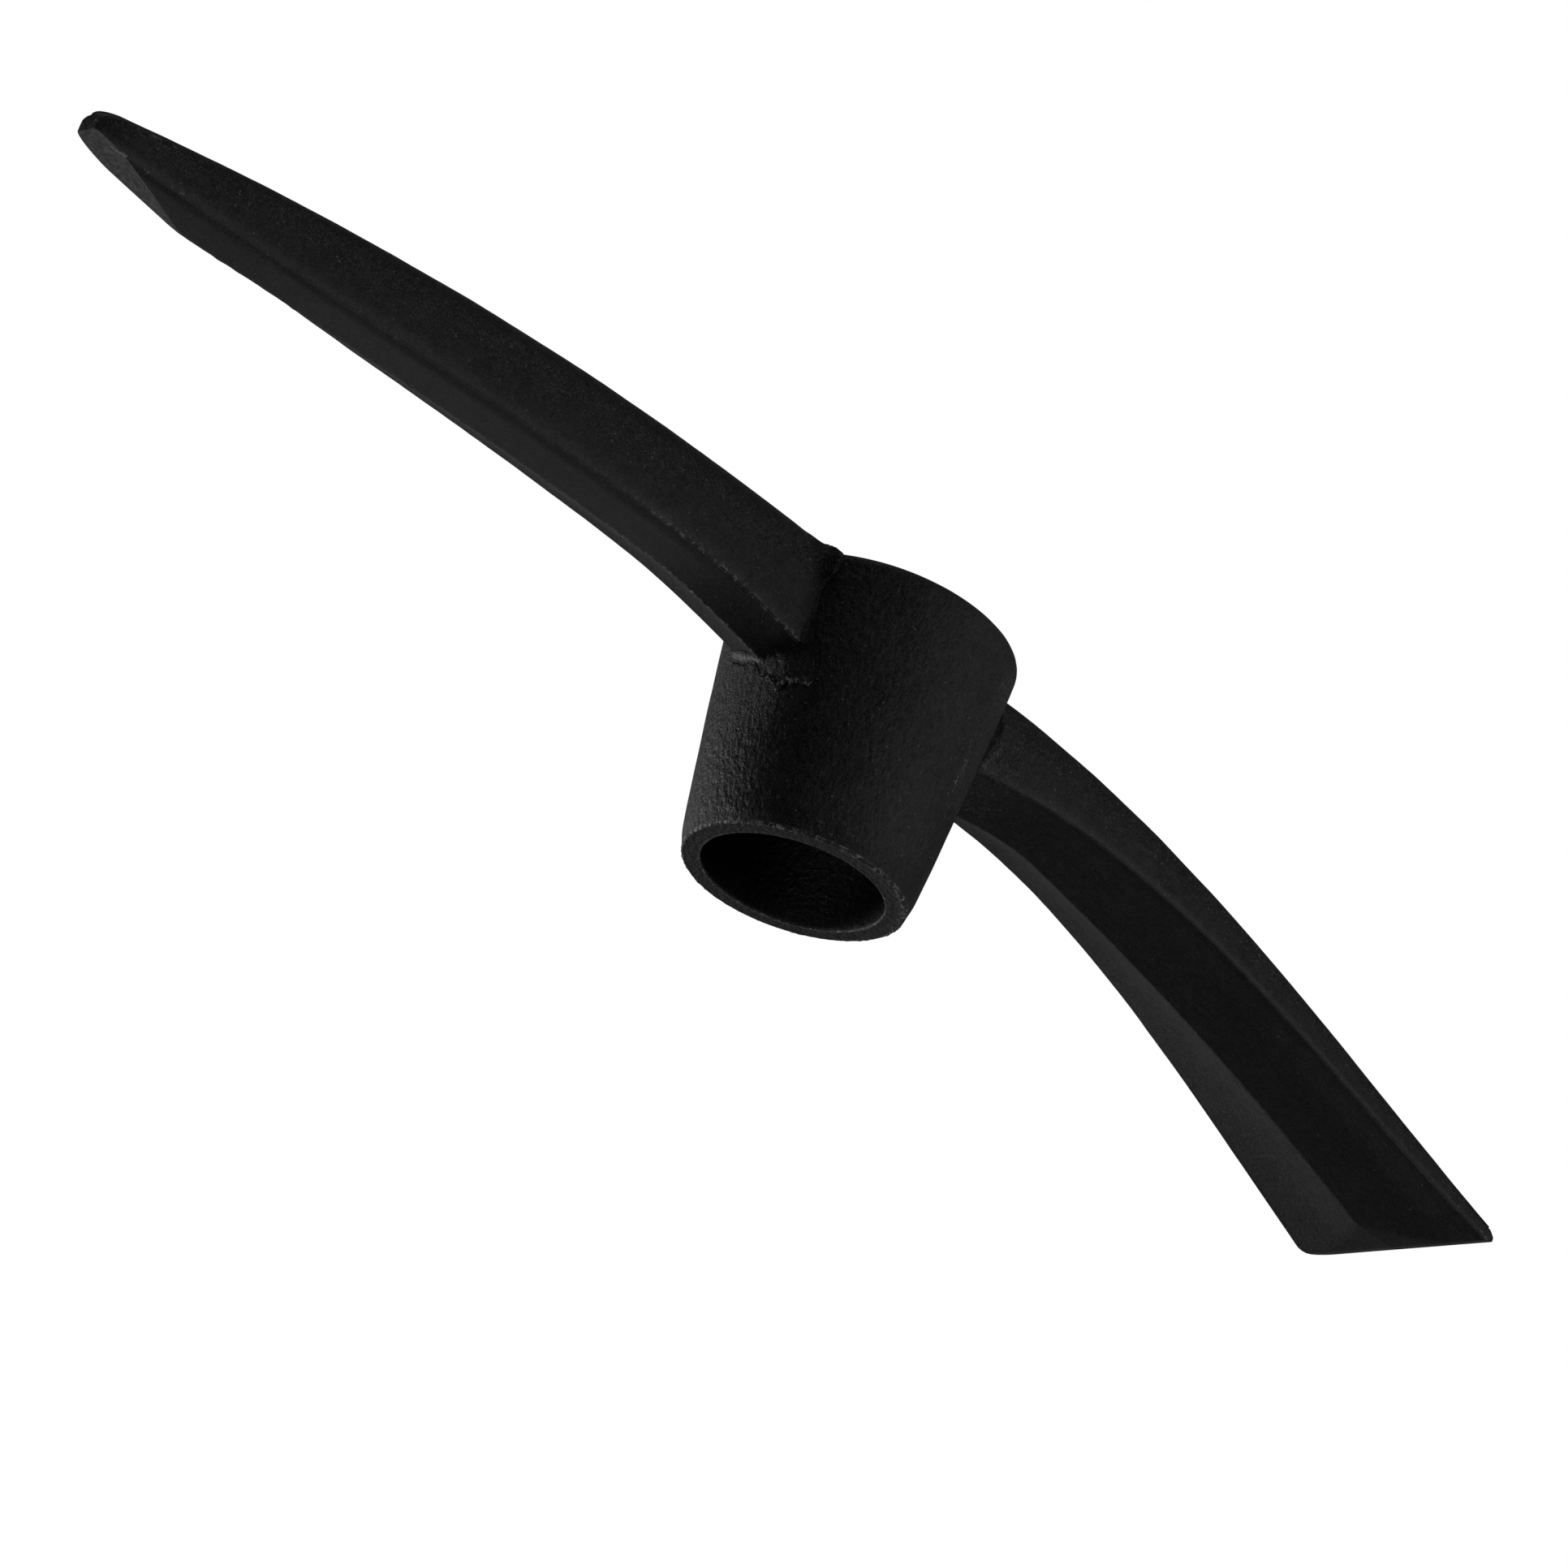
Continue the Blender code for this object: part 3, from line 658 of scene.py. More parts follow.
def grind_flat(obj, start, end, facing):
    """Grind off everything past a slope through two (x, z) points, facing up or down, and close the face."""
    direction = Vector((start[1] - end[1], 0.0, end[0] - start[0])).normalized()
    direction *= facing * math.copysign(1.0, direction.z)
    point = Vector((start[0], 0.0, start[1]))
    edit(obj)
    bpy.ops.mesh.select_all(action="SELECT")
    bpy.ops.mesh.bisect(plane_co=point, plane_no=direction, use_fill=True, clear_outer=True, threshold=1e-7)
    finish_edit()
    ground = obj.data.attributes.get("ground") or obj.data.attributes.new("ground", "FLOAT", "FACE")
    for face in obj.data.polygons:
        if face.normal.dot(direction) > 0.9999 and abs((face.center - point).dot(direction)) < 0.01 * MM:
            ground.data[face.index].value = 1.0


def grind_soft(point, start, end):
    """Lift a point out of a worn slope through two (x, z) points, with no hard line where it starts."""
    slope = start[1] + (end[1] - start[1]) * (point.x - start[0]) / (end[0] - start[0])
    below = slope - point.z
    if below >= GRIND_SOFTNESS:
        point.z = slope
    elif below > -GRIND_SOFTNESS:
        point.z += (below + GRIND_SOFTNESS) ** 2 / (4.0 * GRIND_SOFTNESS)
    return point


def make_pick():
    nose_start = PICK_REACH - PICK_NOSE_LENGTH
    sections = [closed_section(-u, pick_half_section(u)) for u in stations(nose_start)]
    for angle in END_ANGLES:
        distance = nose_start + PICK_NOSE_LENGTH * math.sin(angle)
        half = pick_half_section(distance)
        middle = half[0][1] + (half[-1][1] - half[0][1]) * PICK_NOSE_CENTRE
        narrowing = PICK_NOSE_WIDTH_LEFT + (1.0 - PICK_NOSE_WIDTH_LEFT) * math.cos(angle)
        lowering = PICK_NOSE_HEIGHT_LEFT + (1.0 - PICK_NOSE_HEIGHT_LEFT) * math.cos(angle)
        half = [(y * narrowing, middle + (z - middle) * lowering) for y, z in half]
        sections.append(closed_section(-distance, half))
    arm = draw_out("pick_forging", sections, ARM_MARKS)
    smooth_through(arm, 2)
    move_vertices(arm, lambda point, normal: work_arm(point, normal, PICK_BLEND, PICK_LIP, PICK_BURR))
    grind_start = PICK_REACH - PICK_GRIND_LENGTH
    ridge = pick_half_section(grind_start)[0][1]
    start = (-grind_start, ridge)
    end = (-PICK_REACH, ridge + PICK_GRIND_RISE)
    grind_flat(arm, start, end, -1.0)
    mark_points(arm, "tone", pick_painted_light_and_tone)
    return arm


def under_share(point, half):
    """Share of the way from ridge to edge for a point on the underside, or None for any other point."""
    ridge, half_width = half[0][1], half[SIDE_START][0]
    share = abs(point.y) / half_width
    under = ridge + (edge_height(half) - ridge) * share
    return share if point.z < under + 0.35 * MM and share < 0.99 else None


def side_share(point, half):
    """Share of the way up the side for a point above the underside."""
    edge, top = edge_height(half), half[-1][1]
    return min(1.0, max(0.0, (point.z - edge) / (top - edge)))


def pick_painted_light_and_tone(point):
    """Painted light and shade on the pick arm: its side goes by height, with painted shade on its crown, and
    the near half of its underside gets painted light.
    """
    distance = max(ROOT_INSIDE, min(-point.x, PICK_REACH))
    half = pick_half_section(distance)
    share = under_share(point, half)
    if share is None:
        up = side_share(point, half)
        return tone_of(PICK_PAINTED_LIGHT_AND_TONES, edge=ease(0.22, 0.04, up) * ease(40.0 * MM, 80.0 * MM, distance),
                       crown=ease(0.62, 0.80, up), nose=ease(10.0 * MM, 4.0 * MM, PICK_REACH - distance),
                       toe=ease(3.0 * MM, 0.8 * MM, wall_gap(point)) * ease(52.0 * MM, 57.0 * MM, point.z))
    out = ease(45.0 * MM, 75.0 * MM, distance)
    if point.y > 0.0:
        return tone_of(PICK_PAINTED_LIGHT_AND_TONES, far_root=1.0 - out)
    end = ease(3.0 * MM, 0.5 * MM, PICK_REACH - distance)
    near = out * (1.0 - PICK_EDGE_DARKER * ease(0.62, 0.84, share)) * (1.0 - end)
    return tone_of(PICK_PAINTED_LIGHT_AND_TONES, near=near, near_inner=near * ease(200.0 * MM, 165.0 * MM, distance), end=end)


def chisel_painted_light_and_tone(point):
    """Painted light and shade on the chisel arm: its side goes by height, with painted shade on its crown
    and in the crevice at the eye, and its underside by distance and share.
    """
    distance = max(ROOT_INSIDE, min(point.x, CHISEL_REACH))
    half = chisel_half_section(distance)
    share = abs(point.y) / half[SIDE_START][0]
    if point.z > half[SIDE_START][1] + 0.6 * MM or share > 0.985:
        up = side_share(point, half)
        return tone_of(CHISEL_PAINTED_LIGHT_AND_TONES, side=1.0, edge=ease(0.18, 0.03, up), crown=ease(0.45, 0.95, up),
                       crevice=crevice_share(point))
    out = ease(90.0 * MM, 150.0 * MM, distance)
    honed = ease(-0.3 * MM, 0.3 * MM, distance - CHISEL_REACH + CHISEL_HONE)
    if point.y > 0.0:
        return tone_of(CHISEL_PAINTED_LIGHT_AND_TONES, hone=honed, far=1.0, far_out=out)
    return tone_of(CHISEL_PAINTED_LIGHT_AND_TONES, hone=honed, near=1.0, near_out=out, near_edge=ease(0.87, 0.95, share),
                   near_middle=out * window((0.25, 0.5, 0.55, 0.78), share))


def crevice_share(point):
    """How deep in the crevice between the chisel's near side and the eye a point is, as a share."""
    if point.x < 0.0 or point.y > 0.0:
        return 0.0
    foot, top, end = CREVICE_HEIGHTS
    reach = CREVICE_REACH + CREVICE_WIDENING * max(0.0, point.z - foot)
    reach -= CREVICE_CLOSING * ease(*CREVICE_CLOSING_HEIGHTS, point.z)
    return ease(reach, reach - CREVICE_SOFTNESS, wall_gap(point)) * ease(end, top, point.z)


def root_patch(point):
    """Rough patch on the chisel's near side, next to the eye."""
    near = ease(58.0 * MM, 34.0 * MM, point.x) * ease(61.0 * MM, 54.0 * MM, point.z)
    return near if point.y < 0.0 else 0.0


def corner_scale(from_edge, radius, half_width, stretch=1.0):
    """Share of the half width left at a distance from a cutting edge with a rounded corner."""
    if from_edge >= radius:
        return 1.0
    inset = stretch * (radius - math.sqrt(radius ** 2 - (radius - from_edge) ** 2))
    return (half_width - inset) / half_width


def make_chisel():
    corner_start = CHISEL_REACH - CHISEL_FAR_CORNER
    distances = stations(corner_start)
    distances += [corner_start + CHISEL_FAR_CORNER * math.sin(angle) for angle in END_ANGLES]
    sections = []
    for distance in distances:
        half = chisel_half_section(distance)
        half_width = max(y for y, z in half)
        from_edge = CHISEL_REACH - distance
        near = corner_scale(from_edge, CHISEL_NEAR_CORNER, half_width)
        far = corner_scale(from_edge, CHISEL_FAR_CORNER, half_width, CHISEL_CORNER_STRETCH)
        sections.append(closed_section(distance, half, near, far))
    arm = draw_out("chisel_forging", sections, ARM_MARKS)
    crease_end(arm, CHISEL_REACH - 2.0 * MM)
    smooth_through(arm, 2)
    move_vertices(arm, lambda point, normal: work_arm(point, normal, CHISEL_BLEND, CHISEL_LIP, CHISEL_BURR))
    edge = EYE_HEIGHT + CHISEL_EDGE[1]
    under_start = CHISEL_REACH - CHISEL_UNDER_GRIND
    under_grind = ((under_start, chisel_half_section(under_start)[0][1]), (CHISEL_REACH, edge))
    hone = ((CHISEL_REACH - CHISEL_HONE, edge), (CHISEL_REACH, edge + CHISEL_HONE_RISE))
    move_vertices(arm, lambda point, normal: grind_soft(grind_soft(point, *under_grind), *hone))
    top_start = CHISEL_REACH - CHISEL_TOP_GRIND
    start = (top_start, chisel_half_section(top_start)[-1][1])
    end = (CHISEL_REACH, edge + CHISEL_EDGE_THICKNESS)
    grind_flat(arm, start, end, 1.0)
    mark_points(arm, "tone", chisel_painted_light_and_tone)
    mark_points(arm, "patch", root_patch)
    move_vertices(arm, skew_edge)
    return arm


def skew_edge(point, normal):
    """Set the cutting edge slightly askew: its far end further out and lower."""
    share = point.y / CHISEL_HALF_WIDTH[1] * (max(0.0, point.x) / CHISEL_REACH) ** CHISEL_SKEW_POWER
    return point + Vector((CHISEL_EDGE_LEAD * share, 0.0, -CHISEL_EDGE_DIP * share))


def crease_end(obj, beyond):
    """Keep the rim of the end face crisp when the mesh is subdivided."""
    edit(obj)
    pick_out(obj, "FACE", lambda face: len(face.verts) > 4 and face.calc_center_median().x > beyond)
    bpy.ops.mesh.region_to_loop()
    bpy.ops.transform.edge_crease(value=1.0)
    finish_edit()


def work_arm(point, normal, blend, lip, burr):
    """Blend an arm into the eye's wall, raise its burr and leave its skin uneven."""
    gap = wall_gap(point)
    radius = blend[0] + (blend[1] - blend[0]) * ease(*BLEND_HEIGHTS, point.z)
    spread = blend_offset(gap, radius)
    ragged = max(0.0, forged_wave(Vector((point.x, 0.0, 0.0)), BURR_RUN, 31.0) + 0.15)
    on_ridge = ease(BURR_WIDTH, 0.0, abs(point.y)) * max(0.0, -normal.z)
    moved = point + normal * skin_height(point, ARM_WAVES)
    moved.y += math.copysign(spread * abs(normal.y), point.y)
    moved.z -= burr * ragged * on_ridge
    moved.y += CREVICE_DEPTH * crevice_share(point)
    over = max(0.0, moved.z - (EYE_HEIGHT - LIP_SINK))
    moved.z -= over * ease(*lip, gap)
    return moved


# Beads and lips at the roots

def root_outline(half_section_at, distance):
    """Where an arm's underside and sides meet the wall: place, outward angle, stretch and share of it."""
    half = half_section_at(distance)
    ridge, edge = half[0], (half[SIDE_MIDDLE][0], edge_height(half))
    slope = math.atan2(edge[1] - ridge[1], edge[0] - ridge[0])
    steps = [(index / count, stretch) for stretch, count in BEAD_STEPS.items() for index in range(count)]
    outline = []
    for share, stretch in steps + [(1.0, "flank")]:
        if stretch == "under":
            place = (ridge[0] + (edge[0] - ridge[0]) * share, ridge[1] + (edge[1] - ridge[1]) * share)
            angle = math.radians(-90.0) + slope * share
        elif stretch == "corner":
            place = edge
            angle = (slope - math.radians(90.0)) * (1.0 - share)
        else:
            place = (edge[0], edge[1] + (BEAD_TOP - edge[1]) * share)
            angle = 0.0
        outline.append((place, angle, stretch, share))
    return outline


def bead_legs(stretch, share, near, skirt):
    """How far a bead reaches out along the arm and down the wall."""
    along_arm, down_wall = BEAD_LEG_ON_ARM, BEAD_LEG_ON_WALL
    if near and stretch == "under":
        down_wall += skirt * math.sqrt(share)
    if near and stretch == "corner":
        down_wall += skirt * (1.0 - ease(0.0, 0.5, share))
    if stretch == "flank":
        fading = 1.0 - 0.97 * ease(0.15, 0.60, share)
        along_arm, down_wall = along_arm * fading, down_wall * fading
    return along_arm, down_wall


def on_wall(side, y, z, proud):
    """Point on the eye's wall, or proud of it."""
    radius = wall_radius(z) + proud
    return Vector((side * math.sqrt(max(radius ** 2 - y ** 2, 0.0)), y, z))


def bead_ring(side, y_sign, stretch_point, skirt, seed, ragged):
    """Section of a bead: a hollow fillet from the arm to the wall, then a thin skirt with a raised lip."""
    (y, z), angle, stretch, share = stretch_point
    across, down = math.cos(angle) * y_sign, math.sin(angle)
    along_arm, down_wall = bead_legs(stretch, share, y_sign < 0.0, skirt)
    place = Vector((side * 30.0 * MM, y * y_sign, z))
    ragged *= {"under": 1.0, "corner": 1.0 - share, "flank": 0.0}[stretch]
    rough = 1.0 + ragged * (forged_wave(place, 2.4 * MM, seed) + 0.5 * forged_wave(place, 0.7 * MM, seed))
    along_arm, down_wall = along_arm * rough, down_wall * rough
    fillet = min(down_wall, BEAD_LEG_ON_WALL)
    wall = on_wall(side, y * y_sign, z, 0.0)
    proud = BEAD_SKIRT * ragged
    toe_on_arm = wall + Vector((side * along_arm, -across * BEAD_SINK, -down * BEAD_SINK))
    toe_on_wall = on_wall(side, wall.y + across * fillet, wall.z + down * fillet, proud)
    ring = []
    for step in range(BEAD_FILLET_STEPS):
        t = step / BEAD_FILLET_STEPS
        ring.append(toe_on_arm * (1.0 - t) ** 2 + wall * 2.0 * t * (1.0 - t) + toe_on_wall * t ** 2)
    for step in range(BEAD_SKIRT_STEPS + 1):
        t = step / BEAD_SKIRT_STEPS
        reach = fillet + (down_wall - fillet) * t
        lip = BEAD_LIP * ragged * rough * ease(0.55, 0.9, t)
        ring.append(on_wall(side, wall.y + across * reach, wall.z + down * reach, proud + lip))
    ring.append(on_wall(side, wall.y + across * down_wall, wall.z + down * down_wall, -BEAD_SINK))
    inward = Vector((0.0, across * BEAD_SINK, down * BEAD_SINK))
    ring.append(on_wall(side, wall.y, wall.z, -BEAD_SINK) - inward)
    if stretch == "flank":
        tuck = Vector((0.0, -across * BEAD_TUCK * ease(0.35, 0.65, share), 0.0))
        ring = [point + tuck for point in ring]
    return ring


def make_bead(name, half_section_at, side, skirt, seed, ragged):
    """Bead round the underside and sides of a root, drawn out from its near end to its far end."""
    outline = root_outline(half_section_at, wall_radius(BEAD_TOP) - 1.0 * MM)
    near = [bead_ring(side, -1.0, point, skirt, seed, ragged) for point in outline[::-1]]
    far = [bead_ring(side, 1.0, point, skirt, seed, ragged) for point in outline[1:]]
    bead = draw_out(name, near + far, {"worn": [0.0] * len(near[0])})
    for index, mark in enumerate(bead.data.attributes["worn"].data):
        ring, step = divmod(index, len(near[0]))
        mark.value = bead_wear(outline[abs(ring - len(near) + 1)], step)
    apply_modifier(bead, "SUBSURF", levels=1)
    # Painted shade over the whole bead
    mark_points(bead, "tone", lambda point: BEAD_PAINTED_SHADE)
    return bead


def bead_wear(stretch_point, step):
    """Wear of a bead: on the ragged lip under the arm, and on the fillet next to its ridge."""
    stretch, share = stretch_point[2:]
    if step <= BEAD_FILLET_STEPS:
        return 0.6 * ease(0.35, 0.10, share) if stretch == "under" else 0.0
    on_lip = ease(0.5, 0.85, (step - BEAD_FILLET_STEPS) / BEAD_SKIRT_STEPS)
    return on_lip * {"under": 1.0, "corner": max(0.0, 1.0 - 5.0 * share), "flank": 0.0}[stretch]


# Shader nodes

def new_group(name, inputs, outputs):
    """Empty shader node group with named sockets, its tree and its two end nodes."""
    tree = bpy.data.node_groups.new(name, "ShaderNodeTree")
    for way, sockets in (("INPUT", inputs), ("OUTPUT", outputs)):
        for label, kind in sockets:
            tree.interface.new_socket(name=label, in_out=way, socket_type=kind)
    return tree, tree.nodes.new("NodeGroupInput"), tree.nodes.new("NodeGroupOutput")


def put_in(tree, socket, value):
    """Give a socket a value, or link an output to it."""
    if isinstance(value, bpy.types.NodeSocket):
        tree.links.new(value, socket)
    elif value is not None:
        socket.default_value = value


def add_node(tree, kind, values=None, **settings):
    """New shader node with its settings, and with a value or a link in each socket that is named."""
    node = tree.nodes.new(kind)
    for name, setting in settings.items():
        setattr(node, name, setting)
    for label, value in (values or {}).items():
        put_in(tree, node.inputs[label], value)
    return node


def maths(tree, operation, first, second=None, third=None, clamp=False):
    """Result of an operation on values or outputs."""
    values = {0: first, 1: second, 2: third}
    return add_node(tree, "ShaderNodeMath", values, operation=operation, use_clamp=clamp).outputs[0]


def noise_value(tree, vector, size, detail=2.0, roughness=0.55):
    """Noise from about 0.25 to 0.75, with lumps of a given size in metres."""
    values = {"Vector": vector, "Scale": 1.0 / size, "Detail": detail, "Roughness": roughness}
    return add_node(tree, "ShaderNodeTexNoise", values).outputs["Fac"]


def nearest_cell(tree, vector, size):
    """Outputs of cells of a given size in metres: distance from the middle of one, and its colour."""
    return add_node(tree, "ShaderNodeTexVoronoi", {"Vector": vector, "Scale": 1.0 / size}).outputs


def ramp(tree, value, low, high, start=0.0, end=1.0):
    """Smooth step of a value from start to end."""
    values = {"Value": value, "From Min": low, "From Max": high, "To Min": start, "To Max": end}
    return add_node(tree, "ShaderNodeMapRange", values, interpolation_type="SMOOTHSTEP").outputs["Result"]


def add_shares(tree, total, terms):
    """Total plus a share of each value."""
    for share, value in terms:
        total = maths(tree, "MULTIPLY_ADD", value, share, total)
    return total


def mix_shaders(tree, share, first, second):
    """Node that mixes the first shader with a share of the second."""
    return add_node(tree, "ShaderNodeMixShader", {"Fac": share, 1: first.outputs[0], 2: second.outputs[0]})


def vector_maths(tree, operation, first, second):
    """Result of an operation on two vectors."""
    outputs = add_node(tree, "ShaderNodeVectorMath", {0: first, 1: second}, operation=operation).outputs
    return outputs["Value"] if operation in ("DOT_PRODUCT", "DISTANCE") else outputs["Vector"]


# Stage

def camera_axes():
    """The camera's right, up and back directions in the head's frame."""
    turn, dip, roll = CAMERA_TURN, CAMERA_DIP, CAMERA_ROLL
    back = Vector((-math.sin(turn) * math.cos(dip), -math.cos(turn) * math.cos(dip), -math.sin(dip)))
    right = Vector((math.cos(turn), -math.sin(turn), 0.0))
    up = back.cross(right)
    return (right * math.cos(roll) + up * math.sin(roll), up * math.cos(roll) - right * math.sin(roll), back)


def make_camera():
    right, up, back = camera_axes()
    turned = Matrix((right, up, back)).transposed()
    place = turned @ Vector((-CAMERA_SHIFT[0], -CAMERA_SHIFT[1], CAMERA_DISTANCE))
    data = bpy.data.cameras.new("camera")
    data.sensor_width = SENSOR_WIDTH
    data.sensor_fit = "HORIZONTAL"
    data.lens = SENSOR_WIDTH * PIXELS_PER_METRE * CAMERA_DISTANCE / PHOTO_PIXELS
    camera = bpy.data.objects.new("camera", data)
    camera.matrix_world = Matrix.Translation(place) @ turned.to_4x4()
    bpy.context.scene.collection.objects.link(camera)
    bpy.context.scene.camera = camera


def add_lamp(name, turn, forward, power):
    """Square soft box at a turn round the camera's line of sight."""
    right, up, back = camera_axes()
    aside = math.sqrt(1.0 - forward ** 2)
    angle = math.radians(turn)
    towards = (right * math.cos(angle) + up * math.sin(angle)) * aside + back * forward
    data = bpy.data.lights.new(name, "AREA")
    data.size = LAMP_SIZE
    data.energy = power
    lamp = bpy.data.objects.new(name, data)
    lamp.location = towards * LAMP_DISTANCE + LAMP_AIM
    lamp.rotation_euler = towards.to_track_quat("Z", "Y").to_euler()
    bpy.context.scene.collection.objects.link(lamp)


def make_world():
    """White background, with a soft dark gap on the camera's side for reflections, and a dim fill."""
    world = bpy.data.worlds.new("studio")
    world.use_nodes = True
    bpy.context.scene.world = world
    tree = world.node_tree
    tree.nodes.clear()
    path = add_node(tree, "ShaderNodeLightPath").outputs
    place = add_node(tree, "ShaderNodeTexCoord").outputs["Generated"]
    facing = vector_maths(tree, "DOT_PRODUCT", place, camera_axes()[2])
    gap = ramp(tree, facing, *STUDIO_GAP, STUDIO_GLOSS, STUDIO_GAP_LEVEL)
    level = maths(tree, "MAXIMUM", gap, path["Is Camera Ray"])
    seen = maths(tree, "MAXIMUM", path["Is Camera Ray"], path["Is Glossy Ray"])
    seen = maths(tree, "MAXIMUM", seen, path["Is Transmission Ray"])
    fill = add_node(tree, "ShaderNodeBackground", {"Color": WHITE, "Strength": STUDIO_FILL})
    background = add_node(tree, "ShaderNodeBackground", {"Color": WHITE, "Strength": level})
    mix = mix_shaders(tree, seen, fill, background)
    add_node(tree, "ShaderNodeOutputWorld", {"Surface": mix.outputs[0]})


def make_floor():
    """Pale floor, seen from above by the camera alone: from below, where that stands, it is clear."""
    bpy.ops.mesh.primitive_plane_add(size=FLOOR_SIZE, location=(0.0, 0.0, -FLOOR_GAP))
    floor = bpy.context.object
    floor.name = "floor"
    material = bpy.data.materials.new("pale_floor")
    material.use_nodes = True
    tree = material.node_tree
    tree.nodes.clear()
    pale = add_node(tree, "ShaderNodeBsdfDiffuse", {"Color": FLOOR_COLOUR})
    white = add_node(tree, "ShaderNodeEmission", {"Color": WHITE})
    lit = mix_shaders(tree, FLOOR_WHITE_SHARE, pale, white)
    path = add_node(tree, "ShaderNodeLightPath").outputs
    unseen = maths(tree, "SUBTRACT", 1.0, path["Is Camera Ray"])
    backfacing = add_node(tree, "ShaderNodeNewGeometry").outputs["Backfacing"]
    hidden = maths(tree, "MAXIMUM", backfacing, unseen)
    mix = mix_shaders(tree, hidden, lit, add_node(tree, "ShaderNodeBsdfTransparent"))
    add_node(tree, "ShaderNodeOutputMaterial", {"Surface": mix.outputs[0]})
    floor.data.materials.append(material)


# Finish

def make_skin_group():
    """Skin of a black forging: peel, dents and grit as a height, and its colour, with painted glints and the
    painted light and shade of its tone, and roughness.
    """
    shares = ("Peel", "Drag", "Painted Glints", "Grit", "Worn", "Rough", "Patch", "Scuff", "Ground", "Tone", "Cut")
    tree, entry, leave = new_group(
        "forged_skin",
        [("Vector", "NodeSocketVector"), ("Drawn Vector", "NodeSocketVector")]
        + [(label, "NodeSocketFloat") for label in shares],
        [("Color", "NodeSocketColor"), ("Roughness", "NodeSocketFloat"), ("Height", "NodeSocketFloat")])
    given = entry.outputs
    vector, drawn, worn = given["Vector"], given["Drawn Vector"], given["Worn"]
    rough = maths(tree, "MAXIMUM", given["Rough"], given["Patch"])

    peel = noise_value(tree, vector, 1.0 * MM, 3.0, 0.6)
    drag = noise_value(tree, drawn, 1.2 * MM, 3.0)
    grit = noise_value(tree, vector, 0.4 * MM, 2.0, 0.65)
    mottle = noise_value(tree, vector, 2.6 * MM, 4.0, 0.65)
    swell = noise_value(tree, vector, 11.0 * MM, 2.0)
    hollows = ramp(tree, nearest_cell(tree, vector, 3.4 * MM)["Distance"], 0.08, 0.22, 1.0, 0.0)
    dents = maths(tree, "MULTIPLY", hollows, ramp(tree, swell, 0.48, 0.60))
    unground = maths(tree, "SUBTRACT", 1.0, maths(tree, "MULTIPLY", given["Ground"], 0.7))

    coarse = maths(tree, "MULTIPLY_ADD", rough, 0.34, given["Grit"])
    burr = maths(tree, "MULTIPLY", worn, 0.12)
    height = add_shares(tree, 0.0, [(given["Peel"], peel), (given["Drag"], drag), (-0.06, dents),
                                    (coarse, grit), (burr, grit)])
    height = maths(tree, "MULTIPLY", height, unground)
    tree.links.new(maths(tree, "ADD", height, given["Cut"]), leave.inputs["Height"])

    cell = nearest_cell(tree, vector, 1.3 * MM)
    chosen = add_node(tree, "ShaderNodeSeparateColor", {"Color": cell["Color"]})
    often = maths(tree, "MULTIPLY_ADD", rough, 0.50, given["Painted Glints"])
    # Painted glints: small bright specks put into the colour where pits and grains would catch the light
    painted_glint = ramp(tree, cell["Distance"], 0.10, 0.26, 1.0, 0.0)
    painted_glint = maths(tree, "MULTIPLY", painted_glint, maths(tree, "LESS_THAN", chosen.outputs[0], often))
    painted_glint = maths(tree, "MULTIPLY", painted_glint, chosen.outputs[1])
    broken = ramp(tree, noise_value(tree, vector, 1.2 * MM, 4.0, 0.75), 0.52, 0.60)
    flaked = maths(tree, "MULTIPLY", ramp(tree, worn, 0.5, 0.95), broken)
    flaked = maths(tree, "MULTIPLY", flaked, given["Scuff"])
    # Lighter rough spots and flecks in patches; on the eye the patch is the painted highlight band, which
    # they paint lighter still
    patched = maths(tree, "MULTIPLY", ramp(tree, rough, 0.2, 0.9), ramp(tree, grit, 0.52, 0.66))

    noises = [(1.6, mottle), (4.4, grit), (1.0, drag), (0.7, swell)]
    grey = add_shares(tree, 1.0, [(share, maths(tree, "SUBTRACT", value, 0.5)) for share, value in noises])
    flecks = maths(tree, "MULTIPLY", given["Patch"], broken)
    grey = add_shares(tree, grey, [(0.9, ramp(tree, worn, 0.3, 0.9)), (1.8, patched), (-0.4, dents),
                                   (1.1, flecks), (1.0, given["Tone"])])
    grey = maths(tree, "MULTIPLY", maths(tree, "MAXIMUM", grey, 0.15), PAINT_GREY)
    grey = add_shares(tree, grey, [(PAINTED_GLINT_GREY, painted_glint), (WORN_GREY, flaked)])
    colour = add_node(tree, "ShaderNodeCombineColor", {0: grey, 1: grey, 2: grey})
    tree.links.new(colour.outputs[0], leave.inputs["Color"])
    dull = ramp(tree, peel, 0.3, 0.7, PAINT_ROUGHNESS[0], PAINT_ROUGHNESS[1])
    tree.links.new(maths(tree, "MULTIPLY_ADD", flaked, -0.12, dull), leave.inputs["Roughness"])
    return tree


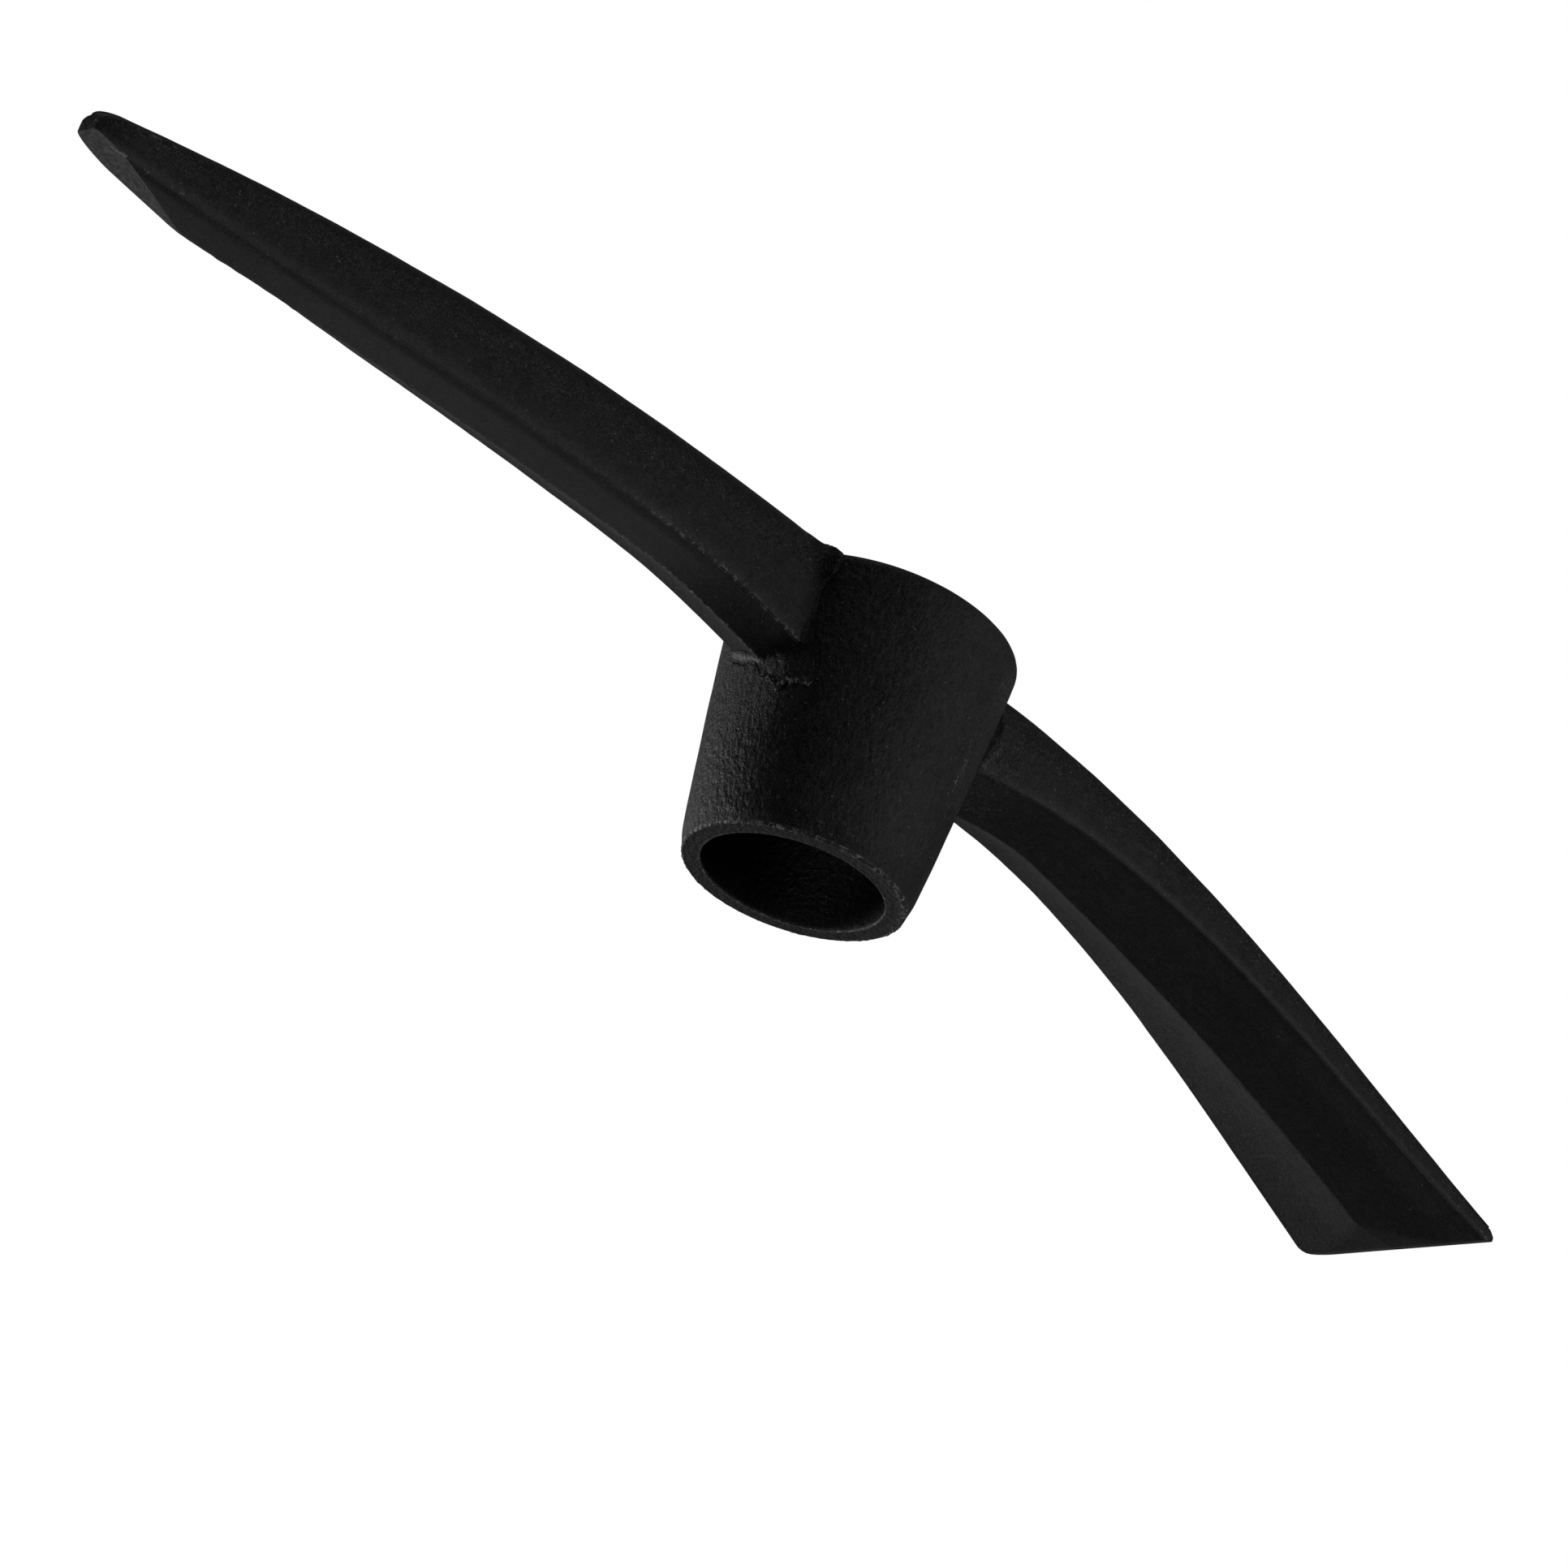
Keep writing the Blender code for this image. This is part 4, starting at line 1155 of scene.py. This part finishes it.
def make_stroke_group():
    """How near a place is to a straight stroke: one on it, nothing a width away, with an uneven side."""
    tree, entry, leave = new_group(
        "stroke",
        [("Vector", "NodeSocketVector"), ("Start", "NodeSocketVector"), ("Run", "NodeSocketVector"),
         ("Width", "NodeSocketFloat")],
        [("Share", "NodeSocketFloat")])
    given = entry.outputs
    from_start = vector_maths(tree, "SUBTRACT", given["Vector"], given["Start"])
    run = given["Run"]
    along = maths(tree, "DIVIDE", vector_maths(tree, "DOT_PRODUCT", from_start, run),
                  vector_maths(tree, "DOT_PRODUCT", run, run), clamp=True)
    nearest = add_node(tree, "ShaderNodeVectorMath", {0: run, "Scale": along}, operation="SCALE")
    away = vector_maths(tree, "DISTANCE", from_start, nearest.outputs[0])
    uneven = ramp(tree, noise_value(tree, given["Vector"], 0.6 * MM, 3.0, 0.7), 0.44, 0.58, 0.02, 1.2)
    away = maths(tree, "DIVIDE", away, maths(tree, "MULTIPLY", uneven, given["Width"]))
    tree.links.new(ramp(tree, away, 1.2, 0.5), leave.inputs["Share"])
    return tree


def add_strokes(tree, place, strokes, tone):
    """Sum of the tones and of the cuts of a piece's marks, on top of its own tone."""
    cut = 0.0
    for start, end, width, lighter, raised in strokes:
        values = {"Vector": place, "Start": [value * MM for value in start],
                  "Run": [(last - first) * MM for first, last in zip(start, end)], "Width": width * MM}
        share = add_node(tree, "ShaderNodeGroup", values, node_tree=STROKE).outputs["Share"]
        tone = maths(tree, "MULTIPLY_ADD", share, lighter, tone)
        cut = maths(tree, "MULTIPLY_ADD", share, raised, cut)
    return tone, cut


def forged_black(name, centre, drawn_scale, skin_values, scuff, strokes=()):
    """Black finish of one piece: its grain is centred on the piece and drawn out along one way."""
    material = bpy.data.materials.new(name)
    material.use_nodes = True
    tree = material.node_tree
    place = add_node(tree, "ShaderNodeTexCoord").outputs["Object"]
    middle = [-value for value in centre]
    centred = add_node(tree, "ShaderNodeMapping", {"Vector": place, "Location": middle}).outputs[0]
    drawn = add_node(tree, "ShaderNodeMapping", {"Vector": centred, "Scale": drawn_scale}).outputs[0]
    tone, cut = add_strokes(tree, place, strokes, read_mark(tree, "tone"))
    along = add_node(tree, "ShaderNodeSeparateXYZ", {"Vector": place}).outputs["X"]
    values = dict(zip(("Peel", "Drag", "Painted Glints", "Grit"), skin_values))
    values.update({label: read_mark(tree, label.lower()) for label in ("Worn", "Rough", "Patch", "Ground")})
    values.update({"Vector": centred, "Drawn Vector": drawn, "Tone": tone, "Cut": cut,
                   "Scuff": ramp(tree, along, scuff[0] * MM, scuff[1] * MM)})
    skin = add_node(tree, "ShaderNodeGroup", values, node_tree=SKIN).outputs
    bump = add_node(tree, "ShaderNodeBump", {"Distance": MM, "Height": skin["Height"]})
    finish = {"Base Color": skin["Color"], "Roughness": skin["Roughness"], "Normal": bump.outputs["Normal"],
              "Specular IOR Level": PAINT_GLOSS}
    for label, value in finish.items():
        put_in(tree, tree.nodes["Principled BSDF"].inputs[label], value)
    return material


def read_mark(tree, name):
    """Output of a piece's own mark of this name."""
    return add_node(tree, "ShaderNodeAttribute", attribute_name=name).outputs["Fac"]


def dress(piece, node, material):
    """Give a piece its finish and its place in the assembly."""
    piece.data.materials.clear()
    piece.data.materials.append(material)
    activate(piece)
    bpy.ops.object.shade_smooth_by_angle(angle=math.radians(32.0))
    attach(piece, "root")
    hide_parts(node)


make_camera()
make_world()
make_floor()
for lamp in LAMPS:
    add_lamp(*lamp)

SKIN = make_skin_group()
STROKE = make_stroke_group()
dress(make_eye(), "eye_socket",
      forged_black("forged_eye", (0.0, 0.0, EYE_HEIGHT / 2), EYE_GRAIN, EYE_SKIN, EYE_SCUFF, EYE_STROKES))
dress(make_pick(), "pick_arm",
      forged_black("forged_pick", (-0.13, 0.0, 0.05), ARM_GRAIN, ARM_SKIN, PICK_SCUFF, PICK_STROKES))
dress(make_chisel(), "chisel_arm",
      forged_black("forged_chisel", (0.13, 0.0, 0.05), ARM_GRAIN, ARM_SKIN, CHISEL_SCUFF, CHISEL_STROKES))
dress(make_bead("pick_bead", pick_half_section, -1.0, PICK_SKIRT, seed=41.0, ragged=0.5),
      "pick_root_weld",
      forged_black("pick_bead_black", (-0.03, 0.0, 0.045), BEAD_GRAIN, PICK_BEAD_SKIN, EYE_SCUFF))
dress(make_bead("chisel_bead", chisel_half_section, 1.0, CHISEL_SKIRT, seed=47.0, ragged=0.4),
      "chisel_root_weld",
      forged_black("chisel_bead_black", (0.03, 0.0, 0.045), BEAD_GRAIN, CHISEL_BEAD_SKIN, EYE_SCUFF))

bpy.context.scene.view_settings.view_transform = "Standard"
